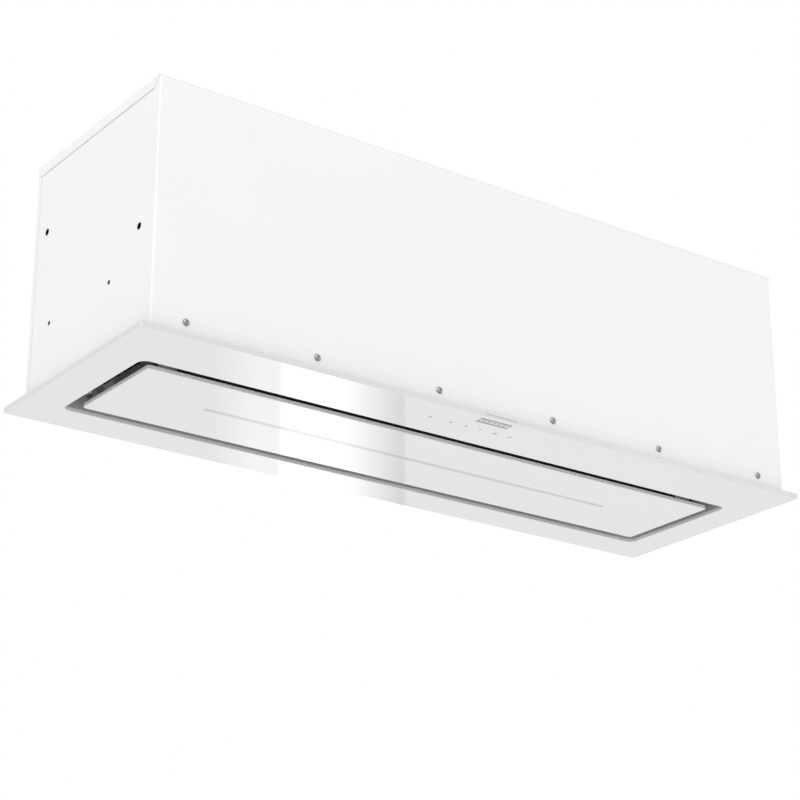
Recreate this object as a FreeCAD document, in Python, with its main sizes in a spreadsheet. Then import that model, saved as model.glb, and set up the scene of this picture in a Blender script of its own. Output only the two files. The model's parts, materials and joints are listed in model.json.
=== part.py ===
"""Ceiling range hood with a white glass flange and a hinged perimeter suction panel.

Lengths are in millimetres.  The origin is the centre of the glass flange's
underside.  X runs along the hood, the front faces -Y and +Z is up.
"""

import FreeCAD, Part
import math
import os
import re
import Sketcher

V = FreeCAD.Vector

# Driving dimensions, in millimetres and degrees.
SIZES = {
    # glass flange under the ceiling
    "flange_length": 900,
    "flange_depth": 296.4,
    "flange_radius": 3,
    "glass_thickness": 4.2,
    "glass_arris": 0.4,
    # suction opening and the hinged panel in it
    "end_border": 46,
    "opening_depth": 171.4,
    "opening_offset": 14.7,
    "opening_radius": 10,
    "suction_gap": 16,
    "panel_radius": 4,
    "tray_setback": 12,
    "tray_height": 16,
    "cover_step_inset_x": 36,
    "cover_step_inset_y": 18,
    "cover_step_slope": 0.8,
    # light strip in the panel
    "light_length": 561,
    "light_width": 6,
    "light_offset": -2.7,
    "light_fit": 0.15,
    "diffuser_lip": 4,
    "diffuser_plate": 1.5,
    "led_channel_height": 12,
    "led_channel_wall": 1.5,
    "led_channel_fit": 0.5,
    "led_channel_overrun": 3,
    "led_board_width": 10,
    "led_board_thickness": 1.2,
    "led_count": 10,
    "led_margin": 10,
    "led_side": 3,
    "led_height": 0.8,
    # steel carrier that holds the flange to the casing
    "carrier_thickness": 2,
    "carrier_inset": 1.2,
    "skirt_crop": 1.2,
    "wall": 1.2,
    "skirt_height": 24,
    "chamber_height": 36,
    # casing of folded sheet
    "end_overhang": 16,
    "casing_depth": 266.4,
    "casing_offset": -5,
    "casing_height": 282,
    "foot_step": 0.2,
    "foot_clearance": 0.3,
    "sheet": 1,
    "bend_radius": 2,
    "hem_width": 12,
    "top_lip": 11.7,
    "rear_lip": 7.5,
    "seam_gap": 0.3,
    # holes in the casing's ends
    "bracket_hole_radius": 3.5,
    "rear_bracket_inset": 28,
    "rear_bracket_height": 200.2,
    "front_bracket_inset": 31.3,
    "front_bracket_height": 127.1,
    "pilot_hole_radius": 2,
    "pilot_hole_height": 86,
    "front_pilot_inset": 90.1,
    "rear_pilot_inset": 45.8,
    # screws, drawn with a few flat sides
    "screw_sides": 8,
    "screw_radius": 2,
    "screw_clearance": 0.15,
    "screw_head_radius": 3.8,
    "screw_head_height": 2.4,
    "screw_length": 9,
    "frame_screw_count": 6,
    "frame_screw_inset": 40.5,
    "rear_screw_count": 3,
    "frame_screw_height": 20.4,
    # ceiling fixing and cable entry in the top panel
    "hanger_inset_x": 34,
    "hanger_inset_y": 23.2,
    "hanger_hole_radius": 4.25,
    "gland_inset": 64,
    "gland_y": 60,
    "gland_thread_radius": 8,
    "gland_sides": 12,
    "gland_bore_radius": 4,
    "gland_fit": 0.2,
    "gland_hex_radius": 12,
    "gland_hex_height": 6,
    "gland_dome_radius": 9.6,
    "gland_dome_height": 12,
    "gland_dome_chamfer": 3,
    "gland_thread_spare": 2,
    "gland_nut_height": 4,
    # touch keys behind the front of the flange
    "touch_x": -16,
    "touch_inset": 27.2,
    "touch_length": 138,
    "touch_depth": 26,
    "touch_board_thickness": 1.6,
    "touch_fit": 1,
    "touch_cover_margin": 6,
    "touch_cover_height": 11,
    # filters and their seat
    "filter_gap": 1.5,
    "filter_height": 9,
    "filter_crop": 5,
    "filter_rail": 14,
    "filter_skin": 1.2,
    "filter_bar": 14,
    "seat_ledge": 8,
    "seat_rim": 9,
    "mesh_fit": 0.3,
    "mesh_columns": 7,
    "mesh_rows": 3,
    "mesh_border": 9,
    "mesh_strand": 3,
    "latch_width": 32,
    "latch_depth": 24,
    "latch_thickness": 1.6,
    "latch_nose_width": 14,
    "latch_reach": 4,
    "latch_grip": 8,
    "latch_grip_width": 24,
    "latch_grip_chamfer": 1.1,
    "latch_fit": 0.3,
    "guide_width": 1.6,
    "guide_lip": 2.5,
    "guide_lip_thickness": 0.8,
    "tab_width": 18,
    "tab_reach": 3,
    "tab_pitch": 240,
    # hinge of the panel
    "hinge_inset": 18.4,
    "hinge_rise": 10,
    "hinge_plate": 1.5,
    "hinge_ear_radius": 5.3,
    "hinge_ear_gap": 1.5,
    "leaf_reach": 11.5,
    "leaf_height": 12,
    "bracket_shelf_rise": 12,
    "bracket_base_height": 11,
    "pin_radius": 2.5,
    "pin_clearance": 0.08,
    "pin_head_radius": 3.8,
    "pin_head_height": 1.5,
    # magnetic catches of the panel
    "catch_inset": 29.2,
    "catch_width": 22.4,
    "catch_depth": 27,
    "catch_height": 9,
    "catch_rise": 22.3,
    "magnet_length": 12,
    "magnet_height": 5,
    "magnet_setback": 14,
    "strike_gap": 0.3,
    "strike_plate": 1.2,
    "strike_reach": 12,
    # blower
    "blower_y": -24,
    "blower_z": 166,
    "impeller_radius": 82,
    "impeller_width": 116,
    "impeller_disc": 2,
    "impeller_ring": 1.5,
    "ring_width": 17.5,
    "wheel_sides": 24,
    "blade_count": 24,
    "blade_facets": 2,
    "blade_depth": 14,
    "blade_curve": 9,
    "blade_lead": 7,
    "blade_lean": 1.7,
    "blade_start": 205,
    "blade_sweep": 115,
    "blade_thickness": 0.9,
    "hub_radius": 12,
    "hub_length": 16,
    "shaft_radius": 4,
    "shaft_clearance": 0.05,
    "scroll_clearance": 6,
    "scroll_growth": 35,
    "scroll_side_gap": 5,
    "scroll_sheet": 1.2,
    "tongue_angle": 78,
    "scroll_steps": 18,
    "inlet_radius": 63,
    "inlet_lip": 5,
    "inlet_depth": 4,
    "inlet_sides": 24,
    "grille_rings": 2,
    "grille_bar": 2,
    "grille_sides": 12,
    "grille_spokes": 6,
    # motor in the right-hand inlet
    "motor_gap": 9,
    "motor_sides": 12,
    "motor_radius": 46,
    "motor_bell": 9,
    "motor_bell_radius": 38,
    "motor_boss_radius": 14,
    "motor_boss": 4,
    "bracket_arms": 3,
    "bracket_arm_width": 14,
    "bracket_ring_radius": 30,
    "bracket_plate": 2,
    "bush_radius": 6,
    "bush_pitch_radius": 77,
    "bush_thickness": 3.8,
    # run capacitor on its clip
    "capacitor_x": 170,
    "capacitor_y": 20,
    "capacitor_radius": 17,
    "capacitor_sides": 16,
    "capacitor_length": 62,
    "clip_width": 16,
    "clip_thickness": 1.2,
    "clip_stem": 6,
    "clip_foot_width": 20.4,
    # outlet collar with its non-return flaps
    "collar_radius": 75,
    "collar_wall": 1.2,
    "outlet_sides": 24,
    "collar_height": 35,
    "collar_flange": 80,
    "collar_flange_crop": 12,
    "collar_flange_thickness": 1.5,
    "axle_rise": 12,
    "axle_radius": 2,
    "axle_recess": 0.2,
    "flap_thickness": 1,
    "flap_rim_gap": 0.8,
    "flap_seat": 0.3,
    "flap_root": 4,
    "stop_width": 3.5,
    "stop_length": 20,
    "stop_thickness": 1.5,
    "knuckle_radius": 3.6,
    "knuckle_clearance": 0.1,
    "knuckle_length": 56,
    "knuckle_gap": 4,
    # electronics box under the top panel
    "box_inset": 184,
    "box_y": -10,
    "box_length": 170,
    "box_depth": 96,
    "box_height": 44,
    "box_wall": 2,
    "board_margin": 4,
    "board_thickness": 1.6,
    "board_rise": 10,
    "boss_radius": 4,
    "boss_inset": 10,
    "transformer_side": 30,
    "transformer_height": 18,
    "transformer_shift": 34,
    "relay_length": 20,
    "relay_width": 12,
    "relay_height": 12,
    "relay_pitch": 18,
    "relay_shift": -14,
    "terminal_inset": 30.6,
    "terminal_count": 5,
    "terminal_pitch": 10,
    "terminal_depth": 14,
    "terminal_height": 12,
    "terminal_well": 6,
    # how far a cut runs past the face it opens
    "cut_margin": 1,
}

# Places and sizes that follow from the driving dimensions.
PLACES = {
    "carrier_top": "glass_thickness + carrier_thickness",
    "casing_length": "flange_length - 2 * end_overhang",
    "casing_top": "carrier_top + casing_height",
    "half_depth": "casing_depth / 2",
    "front_face": "casing_offset - half_depth",
    "rear_face": "casing_offset + half_depth",
    "end_face": "casing_length / 2",
    "casing_foot": "carrier_top - foot_step",
    "shell_height": "casing_height + foot_step - sheet",
    "lip_height": "casing_height + foot_step - top_lip - seam_gap",
    "frame_screw_span": "casing_length - 2 * frame_screw_inset",
    "screw_first_x": "-frame_screw_span / 2",
    "screw_hole_radius": "screw_radius + screw_clearance",
    "hanger_pitch_x": "casing_length - 2 * hanger_inset_x",
    "hanger_pitch_y": "casing_depth - 2 * hanger_inset_y",
    "gland_x": "gland_inset - end_face",
    "touch_y": "front_face + touch_inset",
    "opening_length": "flange_length - 2 * end_border",
    "opening_end": "opening_length / 2",
    "opening_half": "opening_depth / 2",
    "opening_front": "opening_offset - opening_half",
    "opening_rear": "opening_offset + opening_half",
    "panel_length": "opening_length - 2 * suction_gap",
    "panel_depth": "opening_depth - 2 * suction_gap",
    "panel_front": "opening_front + suction_gap",
    "panel_rear": "opening_rear - suction_gap",
    "panel_end": "panel_length / 2",
    "tray_length": "panel_length - 2 * tray_setback",
    "tray_depth": "panel_depth - 2 * tray_setback",
    "tray_end": "tray_length / 2",
    "tray_front": "panel_front + tray_setback",
    "tray_top": "glass_thickness + tray_height",
    "slot_length": "light_length + 2 * light_fit",
    "slot_width": "light_width + 2 * light_fit",
    "diffuser_length": "light_length + 2 * diffuser_lip",
    "diffuser_width": "light_width + 2 * diffuser_lip",
    "channel_width": "diffuser_width + 2 * (led_channel_wall + led_channel_fit)",
    "channel_length": "diffuser_length + 2 * led_channel_overrun",
    "led_span": "light_length - 2 * led_margin",
    "chamber_top": "carrier_top + chamber_height",
    "filter_length": "opening_end - 2 * filter_gap",
    "filter_depth": "opening_depth - 2 * filter_gap",
    "filter_bottom": "chamber_top - filter_height",
    "mesh_length": "filter_length - 2 * (filter_skin + mesh_fit)",
    "mesh_depth": "filter_depth - 2 * (filter_skin + mesh_fit)",
    "mesh_thickness": "filter_height - 2 * (filter_skin + mesh_fit)",
    "mesh_field_x": "filter_length - 2 * filter_rail - 2 * mesh_border",
    "mesh_field_y": "filter_depth - 2 * filter_rail - 2 * mesh_border",
    "mesh_pitch_x": "mesh_field_x / mesh_columns",
    "mesh_pitch_y": "mesh_field_y / mesh_rows",
    "latch_back": "latch_depth - filter_gap - latch_fit",
    "latch_tip": "filter_gap + wall + latch_reach",
    "guide_drop": "latch_thickness + 2 * latch_fit + guide_lip_thickness",
    "pin_y": "panel_rear - hinge_inset",
    "leaf_ear": "tray_end + leaf_reach",
    "bracket_ear": "leaf_ear + hinge_ear_gap",
    "pin_bore_radius": "pin_radius + pin_clearance",
    "catch_x": "panel_end - catch_inset",
    "strike_top": "catch_rise - strike_gap",
    "scroll_start": "impeller_radius + scroll_clearance",
    "scroll_rear": "scroll_start + scroll_growth",
    "tongue_y": "scroll_start * cos(tongue_angle)",
    "scroll_top": "casing_top - sheet - blower_z",
    "scroll_half_width": "impeller_width / 2 + scroll_side_gap",
    "side_face": "scroll_half_width + scroll_sheet",
    "blade_centre": "impeller_radius - blade_depth / 2 - blade_lean",
    "outlet_y": "blower_y + (scroll_rear + tongue_y) / 2",
    "motor_start": "impeller_disc / 2 + motor_gap",
    "motor_end": "side_face + bush_thickness",
    "shaft_end": "motor_end - motor_boss",
    "collar_bore": "collar_radius - collar_wall",
    "outlet_corner": "collar_bore / cos(180 / outlet_sides)",
    "stop_top": "axle_rise - flap_thickness / 2 - flap_seat",
    "flap_radius": "collar_bore - flap_rim_gap",
    "panel_underside": "casing_top - sheet",
    "box_x": "box_inset - end_face",
    "box_bottom": "panel_underside - box_height",
}

SMALLEST_CUT = 0.01

doc = FreeCAD.newDocument("CeilingRangeHood")


# --- the sheet, and what follows from it ---------------------------------

def write_sheet():
    """Put every driving dimension in a cell with an alias."""
    sheet = doc.addObject("Spreadsheet::Sheet", "Sizes")
    for row, (name, value) in enumerate(SIZES.items(), start=1):
        sheet.set(f"A{row}", name)
        sheet.set(f"B{row}", str(value))
        sheet.setAlias(f"B{row}", name)
    doc.recompute()


def full(text):
    """An expression with each bare size name led by the object that holds it."""
    def lead(match):
        word = match.group()
        if word in SIZES:
            return "Sizes." + word
        if word in PLACES:
            return "Places." + word
        return word
    return re.sub(r"[a-z][a-z0-9_]*", lead, str(text))


def bind(item, prop, text):
    """Tie a property to the sheet."""
    item.setExpression(prop, full(text))


def write_places():
    """Add the derived places, and a probe that reads any expression as a number."""
    places = doc.addObject("App::VarSet", "Places")
    for name, text in PLACES.items():
        places.addProperty("App::PropertyFloat", name, "Places")
        bind(places, name, text)
    probe = doc.addObject("App::VarSet", "Probe")
    probe.addProperty("App::PropertyFloat", "reading", "Probe")
    doc.recompute()
    return probe


write_sheet()
PROBE = write_places()


def num(text):
    """The number that an expression stands for."""
    return PROBE.evalExpression(full(text))


# --- sketches -------------------------------------------------------------

def new_body(name, x="0", y="0", z="0"):
    """An empty body whose own origin lies at the given place."""
    body = doc.addObject("PartDesign::Body", name)
    body.Label = name
    body.AllowCompound = True
    for axis, text in zip("xyz", (x, y, z)):
        bind(body, f"Placement.Base.{axis}", text)
    return body


def new_sketch(body, plane, offset="0"):
    """A sketch on one of the body's own planes, moved along the plane's normal."""
    sketch = body.newObject("Sketcher::SketchObject", f"{body.Name}_sketch")
    role = plane + "_Plane"
    support = [item for item in body.Origin.OriginFeatures if item.Role == role][0]
    sketch.AttachmentSupport = [(support, "")]
    sketch.MapMode = "FlatFace"
    bind(sketch, "AttachmentOffset.Base.z", offset)
    sketch.Visibility = False
    return sketch


def constrain(sketch, fixed, driven):
    """Add constraints; each driven one is (kind, references, expression)."""
    first = sketch.ConstraintCount + len(fixed)
    made = list(fixed)
    for kind, refs, text in driven:
        made.append(Sketcher.Constraint(kind, *refs, num(text)))
    sketch.addConstraint(made)
    for step, (_, _, text) in enumerate(driven):
        bind(sketch, f"Constraints[{first + step}]", text)


def polygon(sketch, points):
    """A closed outline through points, each an (x, y) pair of expressions."""
    spots = [V(num(x), num(y), 0) for x, y in points]
    count = len(spots)
    lines = [Part.LineSegment(spots[i], spots[(i + 1) % count]) for i in range(count)]
    first = sketch.addGeometry(lines)[0]
    joined = []
    driven = []
    for i, (x, y) in enumerate(points):
        follower = first + (i + 1) % count
        joined.append(Sketcher.Constraint("Coincident", first + i, 2, follower, 1))
        driven.append(("DistanceX", (-1, 1, first + i, 1), x))
        driven.append(("DistanceY", (-1, 1, first + i, 1), y))
    constrain(sketch, joined, driven)


def rectangle(sketch, x0, y0, x1, y1):
    """A rectangle between two corners."""
    polygon(sketch, [(x0, y0), (x1, y0), (x1, y1), (x0, y1)])


def block(sketch, x, y, length, depth):
    """A rectangle about a centre."""
    rectangle(sketch, f"{x} - ({length}) / 2", f"{y} - ({depth}) / 2",
              f"{x} + ({length}) / 2", f"{y} + ({depth}) / 2")


def rounded_block(sketch, x, y, length, depth, radius):
    """A rectangle about a centre, with round corners."""
    left, right = f"{x} - ({length}) / 2", f"{x} + ({length}) / 2"
    low, high = f"{y} - ({depth}) / 2", f"{y} + ({depth}) / 2"
    x0, x1, y0, y1, r = (num(text) for text in (left, right, low, high, radius))

    def corner(cx, cy, start):
        ring = Part.Circle(V(cx, cy, 0), V(0, 0, 1), r)
        return Part.ArcOfCircle(ring, math.radians(start), math.radians(start + 90))

    first = sketch.addGeometry([
        Part.LineSegment(V(x0 + r, y0, 0), V(x1 - r, y0, 0)),
        corner(x1 - r, y0 + r, 270),
        Part.LineSegment(V(x1, y0 + r, 0), V(x1, y1 - r, 0)),
        corner(x1 - r, y1 - r, 0),
        Part.LineSegment(V(x1 - r, y1, 0), V(x0 + r, y1, 0)),
        corner(x0 + r, y1 - r, 90),
        Part.LineSegment(V(x0, y1 - r, 0), V(x0, y0 + r, 0)),
        corner(x0 + r, y0 + r, 180),
    ])[0]
    make = Sketcher.Constraint
    fixed = [make("Tangent", first + i, 2, first + (i + 1) % 8, 1) for i in range(8)]
    fixed += [make("Horizontal", first + i) for i in (0, 4)]
    fixed += [make("Vertical", first + i) for i in (2, 6)]
    fixed += [make("Equal", first + i, first + i + 2) for i in (1, 3, 5)]
    constrain(sketch, fixed, [
        ("Radius", (first + 1,), radius),
        ("DistanceX", (-1, 1, first + 6, 1), left),
        ("DistanceX", (-1, 1, first + 2, 1), right),
        ("DistanceY", (-1, 1, first, 1), low),
        ("DistanceY", (-1, 1, first + 4, 1), high),
    ])


def circle(sketch, x, y, radius):
    """A full circle."""
    made = sketch.addGeometry(Part.Circle(V(num(x), num(y), 0), V(0, 0, 1), num(radius)))
    constrain(sketch, [], [
        ("Radius", (made,), radius),
        ("DistanceX", (-1, 1, made, 3), x),
        ("DistanceY", (-1, 1, made, 3), y),
    ])


def many_sided(sketch, x, y, radius, sides):
    """A regular polygon about a centre, by its corner radius."""
    turns = [(i + 0.5) * 360 / sides for i in range(sides)]
    polygon(sketch, [(f"{x} + ({radius}) * cos({turn})", f"{y} + ({radius}) * sin({turn})")
                     for turn in turns])


def cropped_block(sketch, x, y, length, depth, crop):
    """A rectangle about a centre, with its corners cut off."""
    across, along = f"({length}) / 2", f"({depth}) / 2"
    short_across, short_along = f"({length}) / 2 - ({crop})", f"({depth}) / 2 - ({crop})"
    polygon(sketch, [
        (f"{x} - ({short_across})", f"{y} - {along}"),
        (f"{x} + ({short_across})", f"{y} - {along}"),
        (f"{x} + {across}", f"{y} - ({short_along})"),
        (f"{x} + {across}", f"{y} + ({short_along})"),
        (f"{x} + ({short_across})", f"{y} + {along}"),
        (f"{x} - ({short_across})", f"{y} + {along}"),
        (f"{x} - {across}", f"{y} + ({short_along})"),
        (f"{x} - {across}", f"{y} - ({short_along})"),
    ])


def snug(sketch, x, y, radius):
    """An eight-sided hole whose flats touch a round pin."""
    many_sided(sketch, x, y, f"({radius}) / cos(22.5)", 8)


def screw_outline(sketch, x, y, radius):
    """The outline of a screw or its hole."""
    many_sided(sketch, x, y, radius, SIZES["screw_sides"])


# --- features -------------------------------------------------------------

def pad(body, sketch, length):
    """Raise a sketch along its normal."""
    feature = body.newObject("PartDesign::Pad", f"{body.Name}_pad")
    feature.Profile = sketch
    bind(feature, "Length", length)
    doc.recompute()
    return feature


def cut(body, sketch, depth):
    """Sink a sketch along its normal, and see that something was cut."""
    before = body.Shape.Volume
    feature = body.newObject("PartDesign::Pocket", f"{body.Name}_pocket")
    feature.Profile = sketch
    feature.Reversed = True
    bind(feature, "Length", depth)
    doc.recompute()
    if before - body.Shape.Volume < SMALLEST_CUT:
        raise RuntimeError(f"a pocket of {body.Label} cuts nothing")
    return feature


def row(body, features, sketch, axis, span, count):
    """Repeat features in a straight row."""
    pattern = body.newObject("PartDesign::LinearPattern", f"{body.Name}_row")
    pattern.Originals = features
    pattern.Direction = (sketch, [axis])
    bind(pattern, "Length", span)
    bind(pattern, "Occurrences", count)
    body.Tip = pattern
    doc.recompute()
    return pattern


def round_row(body, features, sketch, count):
    """Repeat features round the sketch's normal."""
    pattern = body.newObject("PartDesign::PolarPattern", f"{body.Name}_ring")
    pattern.Originals = features
    pattern.Axis = (sketch, ["N_Axis"])
    pattern.Angle = 360
    bind(pattern, "Occurrences", count)
    body.Tip = pattern
    doc.recompute()
    return pattern


def edges_where(shape, test):
    """The names of the edges whose middle point and direction pass a test."""
    names = []
    for i, edge in enumerate(shape.Edges, start=1):
        start, end = edge.ParameterRange
        middle = edge.valueAt((start + end) / 2)
        if test(edge, middle):
            names.append(f"Edge{i}")
    return names


def soften(body, test, size, kind="Fillet"):
    """Round or chamfer the edges that pass a test."""
    base = body.Tip
    names = edges_where(base.Shape, test)
    if not names:
        raise RuntimeError(f"no edge of {body.Label} to soften")
    feature = body.newObject(f"PartDesign::{kind}", f"{body.Name}_{kind.lower()}")
    feature.Base = (base, names)
    bind(feature, "Radius" if kind == "Fillet" else "Size", size)
    doc.recompute()
    return feature


def near(value, text):
    """Whether a coordinate lies at an expression's value."""
    return abs(value - num(text)) < 0.01


def runs_along(edge, axis):
    """Whether a straight edge runs along X, Y or Z."""
    if not isinstance(edge.Curve, Part.Line):
        return False
    return abs(getattr(edge.Curve.Direction, axis)) > 0.999


def upright_at(places):
    """A test for upright edges at the given (x, y) expressions."""
    spots = [(num(x), num(y)) for x, y in places]

    def test(edge, middle):
        return runs_along(edge, "z") and any(
            math.hypot(middle.x - x, middle.y - y) < 0.01 for x, y in spots)
    return test


# --- casing ---------------------------------------------------------------

def end_holes(body, y_shift, z_shift):
    """The fixing holes that pass through both ends of the casing."""
    sketch = new_sketch(body, "YZ", "-end_face - cut_margin")
    circle(sketch, f"rear_face - rear_bracket_inset - ({y_shift})",
           f"rear_bracket_height - ({z_shift})", "bracket_hole_radius")
    circle(sketch, f"front_face + front_bracket_inset - ({y_shift})",
           f"front_bracket_height - ({z_shift})", "bracket_hole_radius")
    for y in ("front_face + front_pilot_inset", "rear_face - rear_pilot_inset"):
        screw_outline(sketch, f"{y} - ({y_shift})", f"pilot_hole_height - ({z_shift})",
                      "pilot_hole_radius")
    cut(body, sketch, "2 * (end_face + cut_margin)")


def frame_screw_holes(body, offset, depth, count):
    """One row of holes for the screws that hold the carrier."""
    sketch = new_sketch(body, "XZ", offset)
    screw_outline(sketch, "screw_first_x", "frame_screw_height - casing_foot",
                  "screw_hole_radius")
    hole = cut(body, sketch, depth)
    row(body, [hole], sketch, "H_Axis", "frame_screw_span", count)


def casing_shell():
    """Front and both ends, folded from one sheet, with a hem under the top panel."""
    body = new_body("casing_shell", y="casing_offset", z="casing_foot")
    wall = new_sketch(body, "XY")
    polygon(wall, [
        ("-end_face", "half_depth - sheet"),
        ("-end_face", "-half_depth"),
        ("end_face", "-half_depth"),
        ("end_face", "half_depth - sheet"),
        ("end_face - sheet", "half_depth - sheet"),
        ("end_face - sheet", "sheet - half_depth"),
        ("sheet - end_face", "sheet - half_depth"),
        ("sheet - end_face", "half_depth - sheet"),
    ])
    pad(body, wall, "shell_height")
    hem = new_sketch(body, "XY", "shell_height - sheet")
    polygon(hem, [
        ("sheet / 2 - end_face", "half_depth - sheet"),
        ("sheet / 2 - end_face", "sheet / 2 - half_depth"),
        ("end_face - sheet / 2", "sheet / 2 - half_depth"),
        ("end_face - sheet / 2", "half_depth - sheet"),
        ("end_face - hem_width", "half_depth - sheet"),
        ("end_face - hem_width", "hem_width - half_depth"),
        ("hem_width - end_face", "hem_width - half_depth"),
        ("hem_width - end_face", "half_depth - sheet"),
    ])
    pad(body, hem, "sheet")
    soften(body, upright_at([("end_face", "-half_depth"), ("-end_face", "-half_depth")]),
           "bend_radius")
    inner = [("end_face - sheet", "sheet - half_depth"), ("sheet - end_face", "sheet - half_depth")]
    soften(body, upright_at(inner), "bend_radius - sheet")
    end_holes(body, "casing_offset", "casing_foot")
    frame_screw_holes(body, "half_depth - sheet - cut_margin", "sheet + 2 * cut_margin",
                      "frame_screw_count")
    return body


def casing_rear_panel():
    """Back plate with lips folded round the ends and a hem along its top."""
    body = new_body("casing_rear_panel", y="rear_face", z="casing_foot")
    pan = new_sketch(body, "XY")
    polygon(pan, [
        ("-end_face - sheet", "-rear_lip"),
        ("-end_face - sheet", "0"),
        ("end_face + sheet", "0"),
        ("end_face + sheet", "-rear_lip"),
        ("end_face", "-rear_lip"),
        ("end_face", "-sheet"),
        ("-end_face", "-sheet"),
        ("-end_face", "-rear_lip"),
    ])
    pad(body, pan, "lip_height")
    upper = new_sketch(body, "XY", "lip_height")
    rectangle(upper, "-end_face", "-sheet", "end_face", "0")
    pad(body, upper, "top_lip + seam_gap - sheet")
    hem = new_sketch(body, "XY", "shell_height - sheet")
    rectangle(hem, "hem_width - end_face + seam_gap", "-hem_width",
              "end_face - hem_width - seam_gap", "0")
    pad(body, hem, "sheet")
    soften(body, upright_at([("end_face + sheet", "0"), ("-end_face - sheet", "0")]),
           "bend_radius")
    frame_screw_holes(body, "-cut_margin", "sheet + 2 * cut_margin", "rear_screw_count")
    return body


def casing_top_panel():
    """Top plate with lips folded down outside the ends, mitred at the front."""
    body = new_body("casing_top_panel", y="casing_offset", z="casing_top")
    plate = new_sketch(body, "XY", "-sheet")
    rectangle(plate, "-end_face - sheet", "-half_depth", "end_face + sheet", "half_depth")
    many_sided(plate, "0", "outlet_y - casing_offset", "outlet_corner", SIZES["outlet_sides"])
    many_sided(plate, "gland_x", "gland_y - casing_offset", "gland_thread_radius + gland_fit",
               SIZES["gland_sides"])
    for x in ("-hanger_pitch_x / 2", "hanger_pitch_x / 2"):
        for y in ("-hanger_pitch_y / 2", "hanger_pitch_y / 2"):
            circle(plate, x, y, "hanger_hole_radius")
    pad(body, plate, "sheet")
    for start in ("end_face", "-end_face - sheet"):
        lip = new_sketch(body, "YZ", start)
        polygon(lip, [
            ("-half_depth", "0"),
            ("top_lip - half_depth", "-top_lip"),
            ("half_depth", "-top_lip"),
            ("half_depth", "0"),
        ])
        pad(body, lip, "sheet")
    return body


def frame_screws(name, face, facing, count):
    """Flat-headed screws in a row; facing is -1 for the front and 1 for the rear."""
    body = new_body(name, "screw_first_x", face, "frame_screw_height")
    head_start, shank_start = "0", "-screw_length"
    if facing > 0:
        head_start, shank_start = "-screw_head_height", "0"
    head_sketch = new_sketch(body, "XZ", head_start)
    screw_outline(head_sketch, "0", "0", "screw_head_radius")
    head = pad(body, head_sketch, "screw_head_height")
    shank_sketch = new_sketch(body, "XZ", shank_start)
    screw_outline(shank_sketch, "0", "0", "screw_radius")
    shank = pad(body, shank_sketch, "screw_length")
    row(body, [head, shank], head_sketch, "H_Axis", "frame_screw_span", count)
    return body


# --- flange and carrier ---------------------------------------------------

def flange_glass():
    """The white glass frame round the suction opening."""
    body = new_body("flange_glass")
    sketch = new_sketch(body, "XY")
    rounded_block(sketch, "0", "0", "flange_length", "flange_depth", "flange_radius")
    rounded_block(sketch, "0", "opening_offset", "opening_length", "opening_depth",
                  "opening_radius")
    pad(body, sketch, "glass_thickness")
    soften(body, lambda edge, middle: near(middle.z, "0"), "glass_arris", "Chamfer")
    return body


def screw_notches(body, offset, depth, count):
    """Notches for one row of screws, open at the skirt's top."""
    notch = new_sketch(body, "XZ", offset)
    low = "frame_screw_height - screw_hole_radius - glass_thickness"
    rectangle(notch, "screw_first_x - screw_hole_radius", low,
              "screw_first_x + screw_hole_radius",
              "carrier_thickness + skirt_height + cut_margin")
    opened = cut(body, notch, depth)
    row(body, [opened], notch, "H_Axis", "frame_screw_span", count)


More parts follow.
